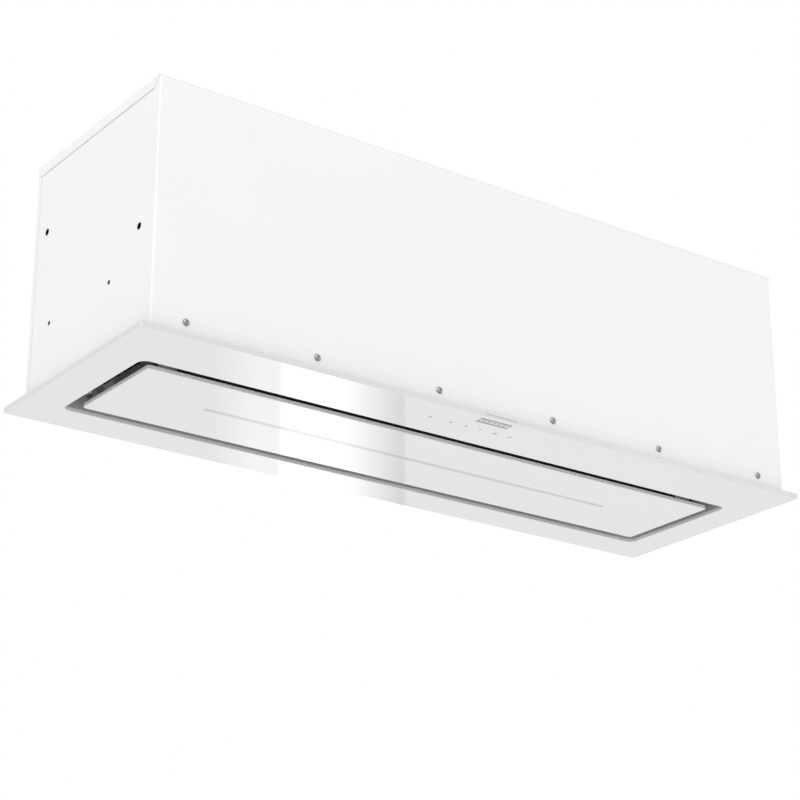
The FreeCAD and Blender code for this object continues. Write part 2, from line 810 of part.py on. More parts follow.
def carrier_frame():
    """Steel ring glued to the glass, with a skirt for the casing and a suction chamber.

    A shallow step in the ring takes the casing's foot.
    """
    body = new_body("carrier_frame", z="glass_thickness")
    ring = new_sketch(body, "XY")
    block(ring, "0", "0", "flange_length - 2 * carrier_inset",
          "flange_depth - 2 * carrier_inset")
    rounded_block(ring, "0", "opening_offset", "opening_length", "opening_depth",
                  "opening_radius")
    block(ring, "touch_x", "touch_y", "touch_length + 2 * touch_fit",
          "touch_depth + 2 * touch_fit")
    pad(body, ring, "carrier_thickness")
    foot = new_sketch(body, "XY", "carrier_thickness - foot_step")
    block(foot, "0", "casing_offset", "casing_length + 2 * (sheet + foot_clearance)",
          "casing_depth + 2 * foot_clearance")
    cropped_block(foot, "0", "casing_offset", "casing_length - 2 * sheet",
                  "casing_depth - 2 * sheet", "skirt_crop")
    cut(body, foot, "foot_step + cut_margin")
    skirt = new_sketch(body, "XY", "carrier_thickness")
    cropped_block(skirt, "0", "casing_offset", "casing_length - 2 * sheet",
                  "casing_depth - 2 * sheet", "skirt_crop")
    block(skirt, "0", "casing_offset", "casing_length - 2 * sheet - 2 * wall",
          "casing_depth - 2 * sheet - 2 * wall")
    pad(body, skirt, "skirt_height")
    chamber = new_sketch(body, "XY", "carrier_thickness")
    rounded_block(chamber, "0", "opening_offset", "opening_length + 2 * wall",
                  "opening_depth + 2 * wall", "opening_radius + wall")
    rounded_block(chamber, "0", "opening_offset", "opening_length", "opening_depth",
                  "opening_radius")
    pad(body, chamber, "chamber_height")
    screw_notches(body, "-rear_face - cut_margin", "rear_face - opening_rear - wall",
                  "rear_screw_count")
    screw_notches(body, "wall + cut_margin - opening_front", "casing_depth",
                  "frame_screw_count")
    latch_slots = new_sketch(body, "XZ", "-opening_front - cut_margin")
    tab_slots = new_sketch(body, "XZ", "-opening_rear - wall - cut_margin")
    for side in (-1, 1):
        centre = f"{side} * opening_end / 2"
        rectangle(latch_slots, f"{centre} - latch_nose_width / 2 - latch_fit",
                  "filter_bottom - glass_thickness - latch_thickness - 2 * latch_fit",
                  f"{centre} + latch_nose_width / 2 + latch_fit",
                  "filter_bottom - glass_thickness")
        for place in (f"{centre} - tab_pitch / 2", f"{centre} + tab_pitch / 2"):
            rectangle(tab_slots, f"{place} - tab_width / 2 - latch_fit",
                      "filter_bottom - glass_thickness - latch_fit",
                      f"{place} + tab_width / 2 + latch_fit",
                      "filter_bottom - glass_thickness + filter_skin + latch_fit")
    cut(body, latch_slots, "wall + 2 * cut_margin")
    cut(body, tab_slots, "wall + 2 * cut_margin")
    return body


def touch_board():
    """Circuit board with the touch keys, against the back of the glass."""
    body = new_body("touch_board", "touch_x", "touch_y", "glass_thickness")
    sketch = new_sketch(body, "XY")
    block(sketch, "0", "0", "touch_length", "touch_depth")
    pad(body, sketch, "touch_board_thickness")
    chip = new_sketch(body, "XY", "touch_board_thickness")
    block(chip, "touch_length / 4", "0", "touch_depth / 2", "touch_depth / 2")
    block(chip, "-touch_length / 4", "0", "touch_depth / 3", "touch_depth / 2")
    pad(body, chip, "touch_board_thickness")
    return body


def touch_board_cover():
    """Moulded cover over the touch board."""
    body = new_body("touch_board_cover", "touch_x", "touch_y", "carrier_top")
    outer = new_sketch(body, "XY")
    block(outer, "0", "0", "touch_length + 2 * touch_cover_margin",
          "touch_depth + 2 * touch_cover_margin")
    pad(body, outer, "touch_cover_height")
    hollow = new_sketch(body, "XY")
    block(hollow, "0", "0", "touch_length + 2 * touch_cover_margin - 2 * box_wall",
          "touch_depth + 2 * touch_cover_margin - 2 * box_wall")
    cut(body, hollow, "touch_cover_height - box_wall")
    soften(body, lambda edge, middle: near(middle.z, "touch_cover_height"), "box_wall / 2",
           "Chamfer")
    return body


# --- filters --------------------------------------------------------------

def filter_seat():
    """Ledge on top of the suction chamber that the filters close against."""
    body = new_body("filter_seat", y="opening_offset", z="chamber_top")
    sketch = new_sketch(body, "XY")
    block(sketch, "0", "0", "opening_length + 2 * seat_rim", "opening_depth + 2 * seat_rim")
    for side in (-1, 1):
        rectangle(sketch, f"{side} * filter_bar / 2", "seat_ledge - opening_half",
                  f"{side} * (opening_end - seat_ledge)", "opening_half - seat_ledge")
    pad(body, sketch, "wall")
    return body


def filter_frame(name, side):
    """Aluminium channel round a filter, with rear tabs and guides for its latch."""
    body = new_body(name, f"{side} * opening_end / 2", "opening_offset", "filter_bottom")
    ring = new_sketch(body, "XY")
    cropped_block(ring, "0", "0", "filter_length", "filter_depth", "filter_crop")
    block(ring, "0", "0", "filter_length - 2 * filter_rail", "filter_depth - 2 * filter_rail")
    pad(body, ring, "filter_height")
    channel = new_sketch(body, "XY", "filter_skin")
    cropped_block(channel, "0", "0", "filter_length - 2 * filter_skin",
                  "filter_depth - 2 * filter_skin", "filter_crop")
    cut(body, channel, "filter_height - 2 * filter_skin")
    tabs = new_sketch(body, "XY")
    for place in ("-tab_pitch / 2", "tab_pitch / 2"):
        rectangle(tabs, f"{place} - tab_width / 2", "filter_depth / 2 - filter_skin",
                  f"{place} + tab_width / 2", "filter_depth / 2 + filter_gap + tab_reach")
    pad(body, tabs, "filter_skin")
    rails = new_sketch(body, "XY", "-guide_drop")
    lips = new_sketch(body, "XY", "-guide_drop")
    for hand in (-1, 1):
        inside = f"{hand} * (latch_width / 2 + latch_fit)"
        outside = f"{hand} * (latch_width / 2 + latch_fit + guide_width)"
        rectangle(rails, inside, "-filter_depth / 2", outside,
                  "filter_rail - filter_depth / 2")
        lip = f"{hand} * (latch_width / 2 + latch_fit - guide_lip)"
        rectangle(lips, lip, "-filter_depth / 2", inside, "filter_rail - filter_depth / 2")
    pad(body, rails, "guide_drop")
    pad(body, lips, "guide_lip_thickness")
    return body


def filter_mesh(name, side):
    """Grease mesh pack: one plate with rows of diamond openings."""
    body = new_body(name, f"{side} * opening_end / 2", "opening_offset",
                    "filter_bottom + filter_skin + mesh_fit")
    plate = new_sketch(body, "XY")
    cropped_block(plate, "0", "0", "mesh_length", "mesh_depth", "filter_crop")
    pad(body, plate, "mesh_thickness")
    diamond = new_sketch(body, "XY", "-cut_margin")
    centre_x = "(mesh_pitch_x - mesh_field_x) / 2"
    centre_y = "(mesh_pitch_y - mesh_field_y) / 2"
    reach_x = "(mesh_pitch_x - mesh_strand) / 2"
    reach_y = "(mesh_pitch_y - mesh_strand) / 2"
    polygon(diamond, [
        (f"{centre_x} - {reach_x}", centre_y),
        (centre_x, f"{centre_y} - {reach_y}"),
        (f"{centre_x} + {reach_x}", centre_y),
        (centre_x, f"{centre_y} + {reach_y}"),
    ])
    hole = cut(body, diamond, "mesh_thickness + 2 * cut_margin")
    field = body.newObject("PartDesign::MultiTransform", f"{body.Name}_field")
    field.Originals = [hole]
    steps = []
    for axis, span, count in (("H_Axis", "mesh_field_x - mesh_pitch_x", "mesh_columns"),
                              ("V_Axis", "mesh_field_y - mesh_pitch_y", "mesh_rows")):
        pattern = body.newObject("PartDesign::LinearPattern", f"{body.Name}_{axis[0]}")
        pattern.Direction = (diamond, [axis])
        bind(pattern, "Length", span)
        bind(pattern, "Occurrences", count)
        steps.append(pattern)
    field.Transformations = steps
    body.Tip = field
    doc.recompute()
    return body


def filter_latch(name, side):
    """Sliding latch under the filter's front rail, with a nose and a finger grip."""
    body = new_body(name, f"{side} * opening_end / 2", "opening_front",
                    "filter_bottom - latch_fit - latch_thickness")
    plate = new_sketch(body, "XY")
    polygon(plate, [
        ("-latch_width / 2", "filter_gap + latch_fit"),
        ("-latch_nose_width / 2", "filter_gap + latch_fit"),
        ("-latch_nose_width / 2", "filter_gap - latch_tip"),
        ("latch_nose_width / 2", "filter_gap - latch_tip"),
        ("latch_nose_width / 2", "filter_gap + latch_fit"),
        ("latch_width / 2", "filter_gap + latch_fit"),
        ("latch_width / 2", "filter_gap + latch_fit + latch_back"),
        ("-latch_width / 2", "filter_gap + latch_fit + latch_back"),
    ])
    pad(body, plate, "latch_thickness")
    grip = new_sketch(body, "XY", "-latch_grip")
    block(grip, "0", "filter_gap + latch_fit + latch_back - latch_thickness",
          "latch_grip_width", "2 * latch_thickness")
    pad(body, grip, "latch_grip")
    soften(body, lambda edge, middle: runs_along(edge, "x") and near(middle.z, "-latch_grip"),
           "latch_grip_chamfer", "Chamfer")
    return body


# --- panel ----------------------------------------------------------------

def panel_glass():
    """The white glass of the suction panel, with a slot for the light."""
    body = new_body("panel_glass", y="opening_offset")
    sketch = new_sketch(body, "XY")
    rounded_block(sketch, "0", "0", "panel_length", "panel_depth", "panel_radius")
    block(sketch, "0", "light_offset", "slot_length", "slot_width")
    pad(body, sketch, "glass_thickness")
    soften(body, lambda edge, middle: near(middle.z, "0") and (
        abs(middle.y) > num("panel_depth / 2 - panel_radius")
        or abs(middle.x) > num("panel_end - panel_radius")), "glass_arris", "Chamfer")
    return body


def panel_tray():
    """Steel tray glued behind the panel's glass."""
    body = new_body("panel_tray", y="opening_offset", z="glass_thickness")
    floor = new_sketch(body, "XY")
    block(floor, "0", "0", "tray_length", "tray_depth")
    block(floor, "0", "light_offset", "slot_length", "slot_width")
    pad(body, floor, "sheet")
    walls = new_sketch(body, "XY", "sheet")
    block(walls, "0", "0", "tray_length", "tray_depth")
    block(walls, "0", "0", "tray_length - 2 * sheet", "tray_depth - 2 * sheet")
    pad(body, walls, "tray_height - sheet")
    return body


def panel_back_cover():
    """Cover on the tray, with a shallow stiffening step."""
    body = new_body("panel_back_cover", y="opening_offset", z="tray_top")
    plate = new_sketch(body, "XY")
    block(plate, "0", "0", "tray_length", "tray_depth")
    pad(body, plate, "sheet")
    step = new_sketch(body, "XY", "sheet")
    block(step, "0", "0", "tray_length - 2 * cover_step_inset_x",
          "tray_depth - 2 * cover_step_inset_y")
    pad(body, step, "sheet")
    soften(body, lambda edge, middle: near(middle.z, "2 * sheet"), "cover_step_slope", "Chamfer")
    return body


def light_diffuser():
    """Opal strip that fills the glass's slot and lies on the tray's floor."""
    body = new_body("light_diffuser", y="opening_offset + light_offset")
    stem = new_sketch(body, "XY")
    block(stem, "0", "0", "light_length", "light_width")
    pad(body, stem, "glass_thickness + sheet")
    lip = new_sketch(body, "XY", "glass_thickness + sheet")
    block(lip, "0", "0", "diffuser_length", "diffuser_width")
    pad(body, lip, "diffuser_plate")
    return body


def led_channel():
    """Aluminium channel over the diffuser, open downwards."""
    body = new_body("led_channel", y="opening_offset + light_offset",
                    z="glass_thickness + sheet")
    outer = new_sketch(body, "XY")
    block(outer, "0", "0", "channel_length", "channel_width")
    pad(body, outer, "led_channel_height")
    hollow = new_sketch(body, "XY")
    block(hollow, "0", "0", "channel_length + 2 * cut_margin",
          "channel_width - 2 * led_channel_wall")
    cut(body, hollow, "led_channel_height - led_channel_wall")
    return body


def led_board():
    """Strip board with its row of light-emitting diodes, under the channel's roof."""
    roof = "glass_thickness + sheet + led_channel_height - led_channel_wall"
    body = new_body("led_board", y="opening_offset + light_offset", z=roof)
    board = new_sketch(body, "XY", "-led_board_thickness")
    block(board, "0", "0", "light_length", "led_board_width")
    pad(body, board, "led_board_thickness")
    diode = new_sketch(body, "XY", "-led_board_thickness - led_height")
    block(diode, "-led_span / 2", "0", "led_side", "led_side")
    lamp = pad(body, diode, "led_height")
    row(body, [lamp], diode, "H_Axis", "led_span", "led_count")
    return body


# --- hinge and catches of the panel --------------------------------------

def bored_ear(body, x_start, bore_outline, bore):
    """Add the ear's cropped end on the hinge axis, and bore it."""
    ear = new_sketch(body, "YZ", x_start)
    snug(ear, "0", "0", "hinge_ear_radius")
    pad(body, ear, "hinge_plate")
    hole = new_sketch(body, "YZ", f"{x_start} - cut_margin")
    bore_outline(hole, "0", "0", bore)
    cut(body, hole, "hinge_plate + 2 * cut_margin")


def hinge_leaf(name, side):
    """Cranked leaf on the tray's end; its own origin lies on the hinge axis."""
    body = new_body(name, "0", "pin_y", "hinge_rise")
    top = "leaf_height - hinge_plate"
    section = new_sketch(body, "XZ", "-hinge_ear_radius")
    points = [
        ("tray_end", "sheet + glass_thickness - hinge_rise"),
        ("tray_end + hinge_plate", "sheet + glass_thickness - hinge_rise"),
        ("tray_end + hinge_plate", "tray_top - hinge_rise - leaf_height / 2"),
        ("leaf_ear - hinge_plate", "tray_top - hinge_rise - leaf_height / 2"),
        ("leaf_ear - hinge_plate", "0"),
        ("leaf_ear", "0"),
        ("leaf_ear", "tray_top - hinge_rise - leaf_height / 2 + hinge_plate"),
        ("tray_end + hinge_plate", "tray_top - hinge_rise - leaf_height / 2 + hinge_plate"),
        ("tray_end + hinge_plate", f"min({top}; tray_top - hinge_rise)"),
        ("tray_end", f"min({top}; tray_top - hinge_rise)"),
    ]
    polygon(section, [(f"{side} * ({x})", z) for x, z in points])
    pad(body, section, "2 * hinge_ear_radius")
    start = "leaf_ear - hinge_plate" if side > 0 else "-leaf_ear"
    bored_ear(body, start, circle, "pin_bore_radius")
    return body


def hinge_bracket(name, side):
    """Cranked bracket on the chamber's end wall, with the outer ear."""
    body = new_body(name, "0", "pin_y", "hinge_rise")
    section = new_sketch(body, "XZ", "-hinge_ear_radius")
    shelf_top = "bracket_shelf_rise + hinge_plate"
    points = [
        ("opening_end", "bracket_shelf_rise"),
        ("opening_end", "bracket_shelf_rise + bracket_base_height"),
        ("opening_end - hinge_plate", "bracket_shelf_rise + bracket_base_height"),
        ("opening_end - hinge_plate", shelf_top),
        ("bracket_ear", shelf_top),
        ("bracket_ear", "0"),
        ("bracket_ear + hinge_plate", "0"),
        ("bracket_ear + hinge_plate", "bracket_shelf_rise"),
    ]
    polygon(section, [(f"{side} * ({x})", z) for x, z in points])
    pad(body, section, "2 * hinge_ear_radius")
    start = "bracket_ear" if side > 0 else "-bracket_ear - hinge_plate"
    bored_ear(body, start, snug, "pin_radius")
    return body


def hinge_pin(name, side):
    """Headed pin through the bracket's ear and the leaf's ear."""
    body = new_body(name, f"{side} * (bracket_ear + hinge_plate)", "pin_y", "hinge_rise")
    reach = "2 * hinge_plate + hinge_ear_gap + pin_radius / 2"
    head = new_sketch(body, "YZ", "0" if side > 0 else "-pin_head_height")
    snug(head, "0", "0", "pin_head_radius")
    pad(body, head, "pin_head_height")
    shank = new_sketch(body, "YZ", f"-({reach})" if side > 0 else "0")
    circle(shank, "0", "0", "pin_radius")
    pad(body, shank, reach)
    return body


def magnet_holder(name, side):
    """Moulded holder on the chamber's front wall, open below for its magnet."""
    body = new_body(name, f"{side} * catch_x", "opening_front", "catch_rise")
    outline = new_sketch(body, "XY")
    rectangle(outline, "-catch_width / 2", "0", "catch_width / 2", "catch_depth")
    pad(body, outline, "catch_height")
    pocket = new_sketch(body, "XY")
    rectangle(pocket, "-magnet_length / 2", "magnet_setback",
              "magnet_length / 2", "magnet_setback + magnet_length")
    cut(body, pocket, "magnet_height")
    soften(body, lambda edge, middle: runs_along(edge, "x")
           and near(middle.y, "catch_depth") and near(middle.z, "catch_height"),
           "catch_height / 2", "Chamfer")
    return body


def catch_magnets():
    """The two magnets in their holders."""
    body = new_body("catch_magnets", z="catch_rise")
    sketch = new_sketch(body, "XY")
    for side in (-1, 1):
        block(sketch, f"{side} * catch_x", "opening_front + magnet_setback + magnet_length / 2",
              "magnet_length", "magnet_length")
    pad(body, sketch, "magnet_height")
    return body


def strike_plates():
    """Steel angles on the tray's front wall that the magnets hold."""
    body = new_body("strike_plates", y="tray_front", z="strike_top")
    for side in (-1, 1):
        section = new_sketch(body, "YZ", f"{side} * catch_x - catch_width / 2")
        polygon(section, [
            ("0", "0"),
            ("-strike_reach", "0"),
            ("-strike_reach", "-strike_plate"),
            ("-strike_plate", "-strike_plate"),
            ("-strike_plate", "glass_thickness + sheet - strike_top"),
            ("0", "glass_thickness + sheet - strike_top"),
        ])
        pad(body, section, "catch_width")
    return body


# --- blower ---------------------------------------------------------------

def scroll_outline(extra):
    """Points along the scroll's sheet: tongue wall, spiral, rear wall.

    The spiral's radius grows evenly with the angle, from the tongue to the rear.
    """
    steps = SIZES["scroll_steps"]
    points = [(f"tongue_y - ({extra})", "scroll_top")]
    for i in range(steps + 1):
        part = f"({i} / {steps})"
        turn = f"(tongue_angle + {part} * (360 - tongue_angle))"
        reach = f"(scroll_start + {part} * scroll_growth + ({extra}))"
        if i == 0:
            points.append((f"tongue_y - ({extra})", f"{reach} * sin{turn}"))
        else:
            points.append((f"{reach} * cos{turn}", f"{reach} * sin{turn}"))
    points.append((f"scroll_rear + {extra}", "scroll_top"))
    return points


def scroll_wrapper():
    """The scroll's rolled sheet, from the tongue round to the outlet."""
    body = new_body("scroll_wrapper", y="blower_y", z="blower_z")
    sketch = new_sketch(body, "YZ", "-scroll_half_width")
    polygon(sketch, scroll_outline("0") + scroll_outline("scroll_sheet")[::-1])
    pad(body, sketch, "2 * scroll_half_width")
    return body


def scroll_side(name, side):
    """A flat side of the scroll, with a flared inlet turned into it."""
    body = new_body(name, y="blower_y", z="blower_z")
    sides = SIZES["inlet_sides"]
    start = "scroll_half_width" if side > 0 else "-side_face"
    sketch = new_sketch(body, "YZ", start)
    polygon(sketch, scroll_outline("scroll_sheet"))
    many_sided(sketch, "0", "0", "inlet_radius + inlet_lip", sides)
    pad(body, sketch, "scroll_sheet")
    throat = f"{side} * (scroll_half_width - inlet_depth)"
    flare(body, throat, f"{side} * side_face", "inlet_radius + scroll_sheet",
          "inlet_radius + inlet_lip + scroll_sheet", "AdditiveLoft")
    flare(body, throat, f"{side} * side_face", "inlet_radius", "inlet_radius + inlet_lip",
          "SubtractiveLoft")
    return body


def flare(body, near_x, far_x, near_radius, far_radius, kind):
    """A many-sided funnel between two radii, added or cut."""
    ends = []
    for x, radius in ((near_x, near_radius), (far_x, far_radius)):
        end = new_sketch(body, "YZ", x)
        many_sided(end, "0", "0", radius, SIZES["inlet_sides"])
        ends.append(end)
    feature = body.newObject(f"PartDesign::{kind}", f"{body.Name}_flare")
    feature.Profile = ends[0]
    feature.Sections = [ends[1]]
    feature.Ruled = True
    doc.recompute()


def inlet_grille():
    """Finger guard over the left inlet: rings on spokes."""
    body = new_body("inlet_grille", "-side_face - grille_bar", "blower_y", "blower_z")
    spacing = "(inlet_radius - hub_radius) / grille_rings"
    for i in range(SIZES["grille_rings"] + 1):
        inner = f"hub_radius + {i} * {spacing}"
        ring = new_sketch(body, "YZ")
        many_sided(ring, "0", "0", f"{inner} + grille_bar", SIZES["grille_sides"])
        many_sided(ring, "0", "0", inner, SIZES["grille_sides"])
        pad(body, ring, "grille_bar")
    spoke = new_sketch(body, "YZ")
    rectangle(spoke, "hub_radius + grille_bar / 2", "-grille_bar / 2",
              "inlet_radius + inlet_lip + hem_width / 2", "grille_bar / 2")
    arm = pad(body, spoke, "grille_bar")
    round_row(body, [arm], spoke, "grille_spokes")
    return body


def blade_outline(sketch):
    """A forward-curved blade: a strip of even thickness bent round an arc ahead of it."""
    facets = SIZES["blade_facets"]
    points = []
    for i in range(facets + 1):
        bend = f"(blade_start + {i} / {facets} * blade_sweep)"
        points.append((f"blade_centre + blade_curve * cos{bend}",
                       f"blade_lead + blade_curve * sin{bend}"))
    for i in range(facets, -1, -1):
        bend = f"(blade_start + {i} / {facets} * blade_sweep)"
        points.append((f"blade_centre + (blade_curve + blade_thickness) * cos{bend}",
                       f"blade_lead + (blade_curve + blade_thickness) * sin{bend}"))
    polygon(sketch, points)


def impeller():
    """Double-inlet squirrel-cage wheel: blades on a centre disc between two end rings."""
    body = new_body("impeller", y="blower_y", z="blower_z")
    sides = SIZES["wheel_sides"]
    disc = new_sketch(body, "YZ", "-impeller_disc / 2")
    many_sided(disc, "0", "0", "impeller_radius", sides)
    circle(disc, "0", "0", "shaft_radius")
    pad(body, disc, "impeller_disc")
    hub = new_sketch(body, "YZ", "-hub_length")
    many_sided(hub, "0", "0", "hub_radius", sides // 4)
    circle(hub, "0", "0", "shaft_radius")
    pad(body, hub, "hub_length")
    for start in ("-impeller_width / 2", "impeller_width / 2 - impeller_ring"):
        ring = new_sketch(body, "YZ", start)
        many_sided(ring, "0", "0", "impeller_radius", sides)
        many_sided(ring, "0", "0", "impeller_radius - ring_width", sides)
        pad(body, ring, "impeller_ring")
    blade = new_sketch(body, "YZ", "-impeller_width / 2 + impeller_ring / 2")
    blade_outline(blade)
    vane = pad(body, blade, "impeller_width - impeller_ring")
    round_row(body, [vane], blade, "blade_count")
    return body


def motor_shaft():
    """Steel shaft from the impeller's hub through the motor."""
    body = new_body("motor_shaft", y="blower_y", z="blower_z")
    sketch = new_sketch(body, "YZ", "-hub_length - shaft_radius")
    circle(sketch, "0", "0", "shaft_radius")
    pad(body, sketch, "hub_length + shaft_radius + shaft_end")
    return body


def motor_housing():
    """Motor can with smaller end bells and bearing bosses, bored for the shaft."""
    body = new_body("motor_housing", y="blower_y", z="blower_z")
    steps = [
        ("motor_start", "motor_boss_radius"),
        ("motor_start + motor_boss", "motor_bell_radius"),
        ("motor_start + motor_boss + motor_bell", "motor_radius"),
        ("motor_end - motor_boss - motor_bell", "motor_bell_radius"),
        ("motor_end - motor_boss", "motor_boss_radius"),
    ]
    starts = [start for start, _ in steps] + ["motor_end"]
    for i, (start, radius) in enumerate(steps):
        section = new_sketch(body, "YZ", start)
        many_sided(section, "0", "0", radius, SIZES["motor_sides"])
        pad(body, section, f"{starts[i + 1]} - ({start})")
    bore = new_sketch(body, "YZ", "motor_start - cut_margin")
    circle(bore, "0", "0", "shaft_radius + shaft_clearance")
    cut(body, bore, "shaft_end - motor_start + 2 * cut_margin")
    return body


def motor_bracket():
    """Three-armed spider that carries the motor on rubber bushes."""
    body = new_body("motor_bracket", "motor_end", "blower_y", "blower_z")
    ring = new_sketch(body, "YZ")
    many_sided(ring, "0", "0", "bracket_ring_radius", SIZES["motor_sides"])
    pad(body, ring, "bracket_plate")
    arm_sketch = new_sketch(body, "YZ")
    polygon(arm_sketch, [
        ("0", "-bracket_arm_width / 2"),
        ("bush_pitch_radius", "-bracket_arm_width / 2"),
        ("bush_pitch_radius + bush_radius", "-bracket_arm_width / 4"),
        ("bush_pitch_radius + bush_radius", "bracket_arm_width / 4"),
        ("bush_pitch_radius", "bracket_arm_width / 2"),
        ("0", "bracket_arm_width / 2"),
    ])
    arm = pad(body, arm_sketch, "bracket_plate")
    round_row(body, [arm], arm_sketch, "bracket_arms")
    return body


def motor_bushes():
    """Rubber bushes between the spider's feet and the scroll."""
    body = new_body("motor_bushes", "side_face", "blower_y", "blower_z")
    sketch = new_sketch(body, "YZ")
    screw_outline(sketch, "bush_pitch_radius", "0", "bush_radius")
    bush = pad(body, sketch, "bush_thickness")
    round_row(body, [bush], sketch, "bracket_arms")
    return body


def run_capacitor():
    """Motor capacitor with its terminal end."""
    body = new_body("run_capacitor", "capacitor_x", "capacitor_y",
                    "panel_underside - clip_stem - capacitor_radius")
    can = new_sketch(body, "YZ")
    many_sided(can, "0", "0", "capacitor_radius", SIZES["capacitor_sides"])
    pad(body, can, "capacitor_length")
    terminals = new_sketch(body, "YZ", "capacitor_length")
    for side in (-1, 1):
        block(terminals, f"{side} * capacitor_radius / 3", "0", "clip_thickness", "clip_stem")
    pad(body, terminals, "clip_stem")
    return body


def capacitor_clip():
    """Band round the capacitor, with a stem and foot under the top panel."""
    body = new_body("capacitor_clip", "capacitor_x + (capacitor_length - clip_width) / 2",
                    "capacitor_y", "panel_underside - clip_stem - capacitor_radius")
    stem = new_sketch(body, "YZ")
    rectangle(stem, "-clip_thickness", "capacitor_radius", "clip_thickness",
              "capacitor_radius + clip_stem")
    pad(body, stem, "clip_width")
    foot = new_sketch(body, "YZ")
    rectangle(foot, "-clip_foot_width / 2", "capacitor_radius + clip_stem - clip_thickness",
              "clip_foot_width / 2", "capacitor_radius + clip_stem")
    pad(body, foot, "clip_width")
    band = new_sketch(body, "YZ")
    many_sided(band, "0", "0", "capacitor_radius + clip_thickness", SIZES["capacitor_sides"])
    pad(body, band, "clip_width")
    bore = new_sketch(body, "YZ", "-cut_margin")
    many_sided(bore, "0", "0", "capacitor_radius", SIZES["capacitor_sides"])
    cut(body, bore, "clip_width + 2 * cut_margin")
    return body


# --- outlet ---------------------------------------------------------------

def outlet_collar():
    """Duct collar on the top panel, with stops for the flaps and holes for their axle."""
    body = new_body("outlet_collar", y="outlet_y", z="casing_top")
    flange = new_sketch(body, "XY")
    cropped_block(flange, "0", "0", "2 * collar_flange", "2 * collar_flange",
                  "collar_flange_crop")
    circle(flange, "0", "0", "collar_bore")
    pad(body, flange, "collar_flange_thickness")
    tube = new_sketch(body, "XY", "collar_flange_thickness")
    circle(tube, "0", "0", "collar_radius")
    circle(tube, "0", "0", "collar_bore")
    pad(body, tube, "collar_height - collar_flange_thickness")
    stops = new_sketch(body, "XY", "stop_top - stop_thickness")
    for hand in (-1, 1):
        rectangle(stops, "-stop_length / 2", f"{hand} * (collar_bore - stop_width)",
                  "stop_length / 2", f"{hand} * (collar_bore + collar_wall / 4)")
    pad(body, stops, "stop_thickness")
    holes = new_sketch(body, "YZ", "-collar_radius - cut_margin")
    snug(holes, "0", "axle_rise", "axle_radius")
    cut(body, holes, "2 * (collar_radius + cut_margin)")
    return body


def flap_axle():
    """Axle across the collar for both flaps."""
    body = new_body("flap_axle", y="outlet_y", z="casing_top + axle_rise")
    sketch = new_sketch(body, "YZ", "axle_recess - collar_radius")
    circle(sketch, "0", "0", "axle_radius")
    pad(body, sketch, "2 * (collar_radius - axle_recess)")
    return body


def flap(name, side):
    """Half-round non-return flap with a long knuckle; its origin lies on the axle."""
    body = new_body(name, y="outlet_y", z="casing_top + axle_rise")
    plate = new_sketch(body, "XY", "-flap_thickness / 2")
    reach = num("flap_radius")
    root = num("flap_root")
    lean = math.asin(root / reach)
    start, end = (lean, math.pi - lean) if side > 0 else (math.pi + lean, -lean)
    rim = Part.ArcOfCircle(Part.Circle(V(0, 0, 0), V(0, 0, 1), reach), start, end)
    arc = plate.addGeometry(rim)
    chord = plate.addGeometry(Part.LineSegment(plate.getPoint(arc, 2), plate.getPoint(arc, 1)))
    make = Sketcher.Constraint
    constrain(plate, [
        make("Coincident", arc, 3, -1, 1),
        make("Coincident", chord, 1, arc, 2),
        make("Coincident", chord, 2, arc, 1),
        make("Horizontal", chord),
    ], [
        ("Radius", (arc,), "flap_radius"),
        ("DistanceY", (-1, 1, chord, 1), f"{side} * flap_root"),
    ])
    pad(body, plate, "flap_thickness")
    low = "knuckle_gap" if side > 0 else "-knuckle_gap - knuckle_length"
    knuckle = new_sketch(body, "YZ", low)
    snug(knuckle, "0", "0", "knuckle_radius")
    pad(body, knuckle, "knuckle_length")
    web = new_sketch(body, "YZ", low)
    rectangle(web, f"{side} * axle_radius", "-flap_thickness / 2",
              f"{side} * (flap_root + flap_thickness)", "flap_thickness / 2")
    pad(body, web, "knuckle_length")
    bore = new_sketch(body, "YZ", "-collar_radius")
    snug(bore, "0", "0", "axle_radius + knuckle_clearance")
    cut(body, bore, "2 * collar_radius")
    return body


def cable_gland():
    """Screwed gland for the mains lead, standing on the top panel."""
    body = new_body("cable_gland", "gland_x", "gland_y", "casing_top")
    sides = SIZES["gland_sides"]
    thread_length = "sheet + gland_nut_height + gland_thread_spare"
    thread = new_sketch(body, "XY", f"-({thread_length})")
    many_sided(thread, "0", "0", "gland_thread_radius", sides)
    pad(body, thread, thread_length)
    collar = new_sketch(body, "XY")
    many_sided(collar, "0", "0", "gland_hex_radius", 6)
    pad(body, collar, "gland_hex_height")
    dome = new_sketch(body, "XY", "gland_hex_height")
    many_sided(dome, "0", "0", "gland_dome_radius", sides)
    pad(body, dome, "gland_dome_height")
    soften(body, lambda edge, middle: near(middle.z, "gland_hex_height + gland_dome_height"),
           "gland_dome_chamfer", "Chamfer")
    bore = new_sketch(body, "XY", f"-({thread_length}) - cut_margin")
    circle(bore, "0", "0", "gland_bore_radius")
    cut(body, bore, f"{thread_length} + gland_hex_height + gland_dome_height + 2 * cut_margin")
    return body


def gland_nut():
    """Locknut of the gland, under the top panel."""
    body = new_body("gland_nut", "gland_x", "gland_y", "panel_underside - gland_nut_height")
    sketch = new_sketch(body, "XY")
    many_sided(sketch, "0", "0", "gland_hex_radius", 6)
    many_sided(sketch, "0", "0", "gland_thread_radius", SIZES["gland_sides"])
    pad(body, sketch, "gland_nut_height")
    return body


# --- electronics ----------------------------------------------------------

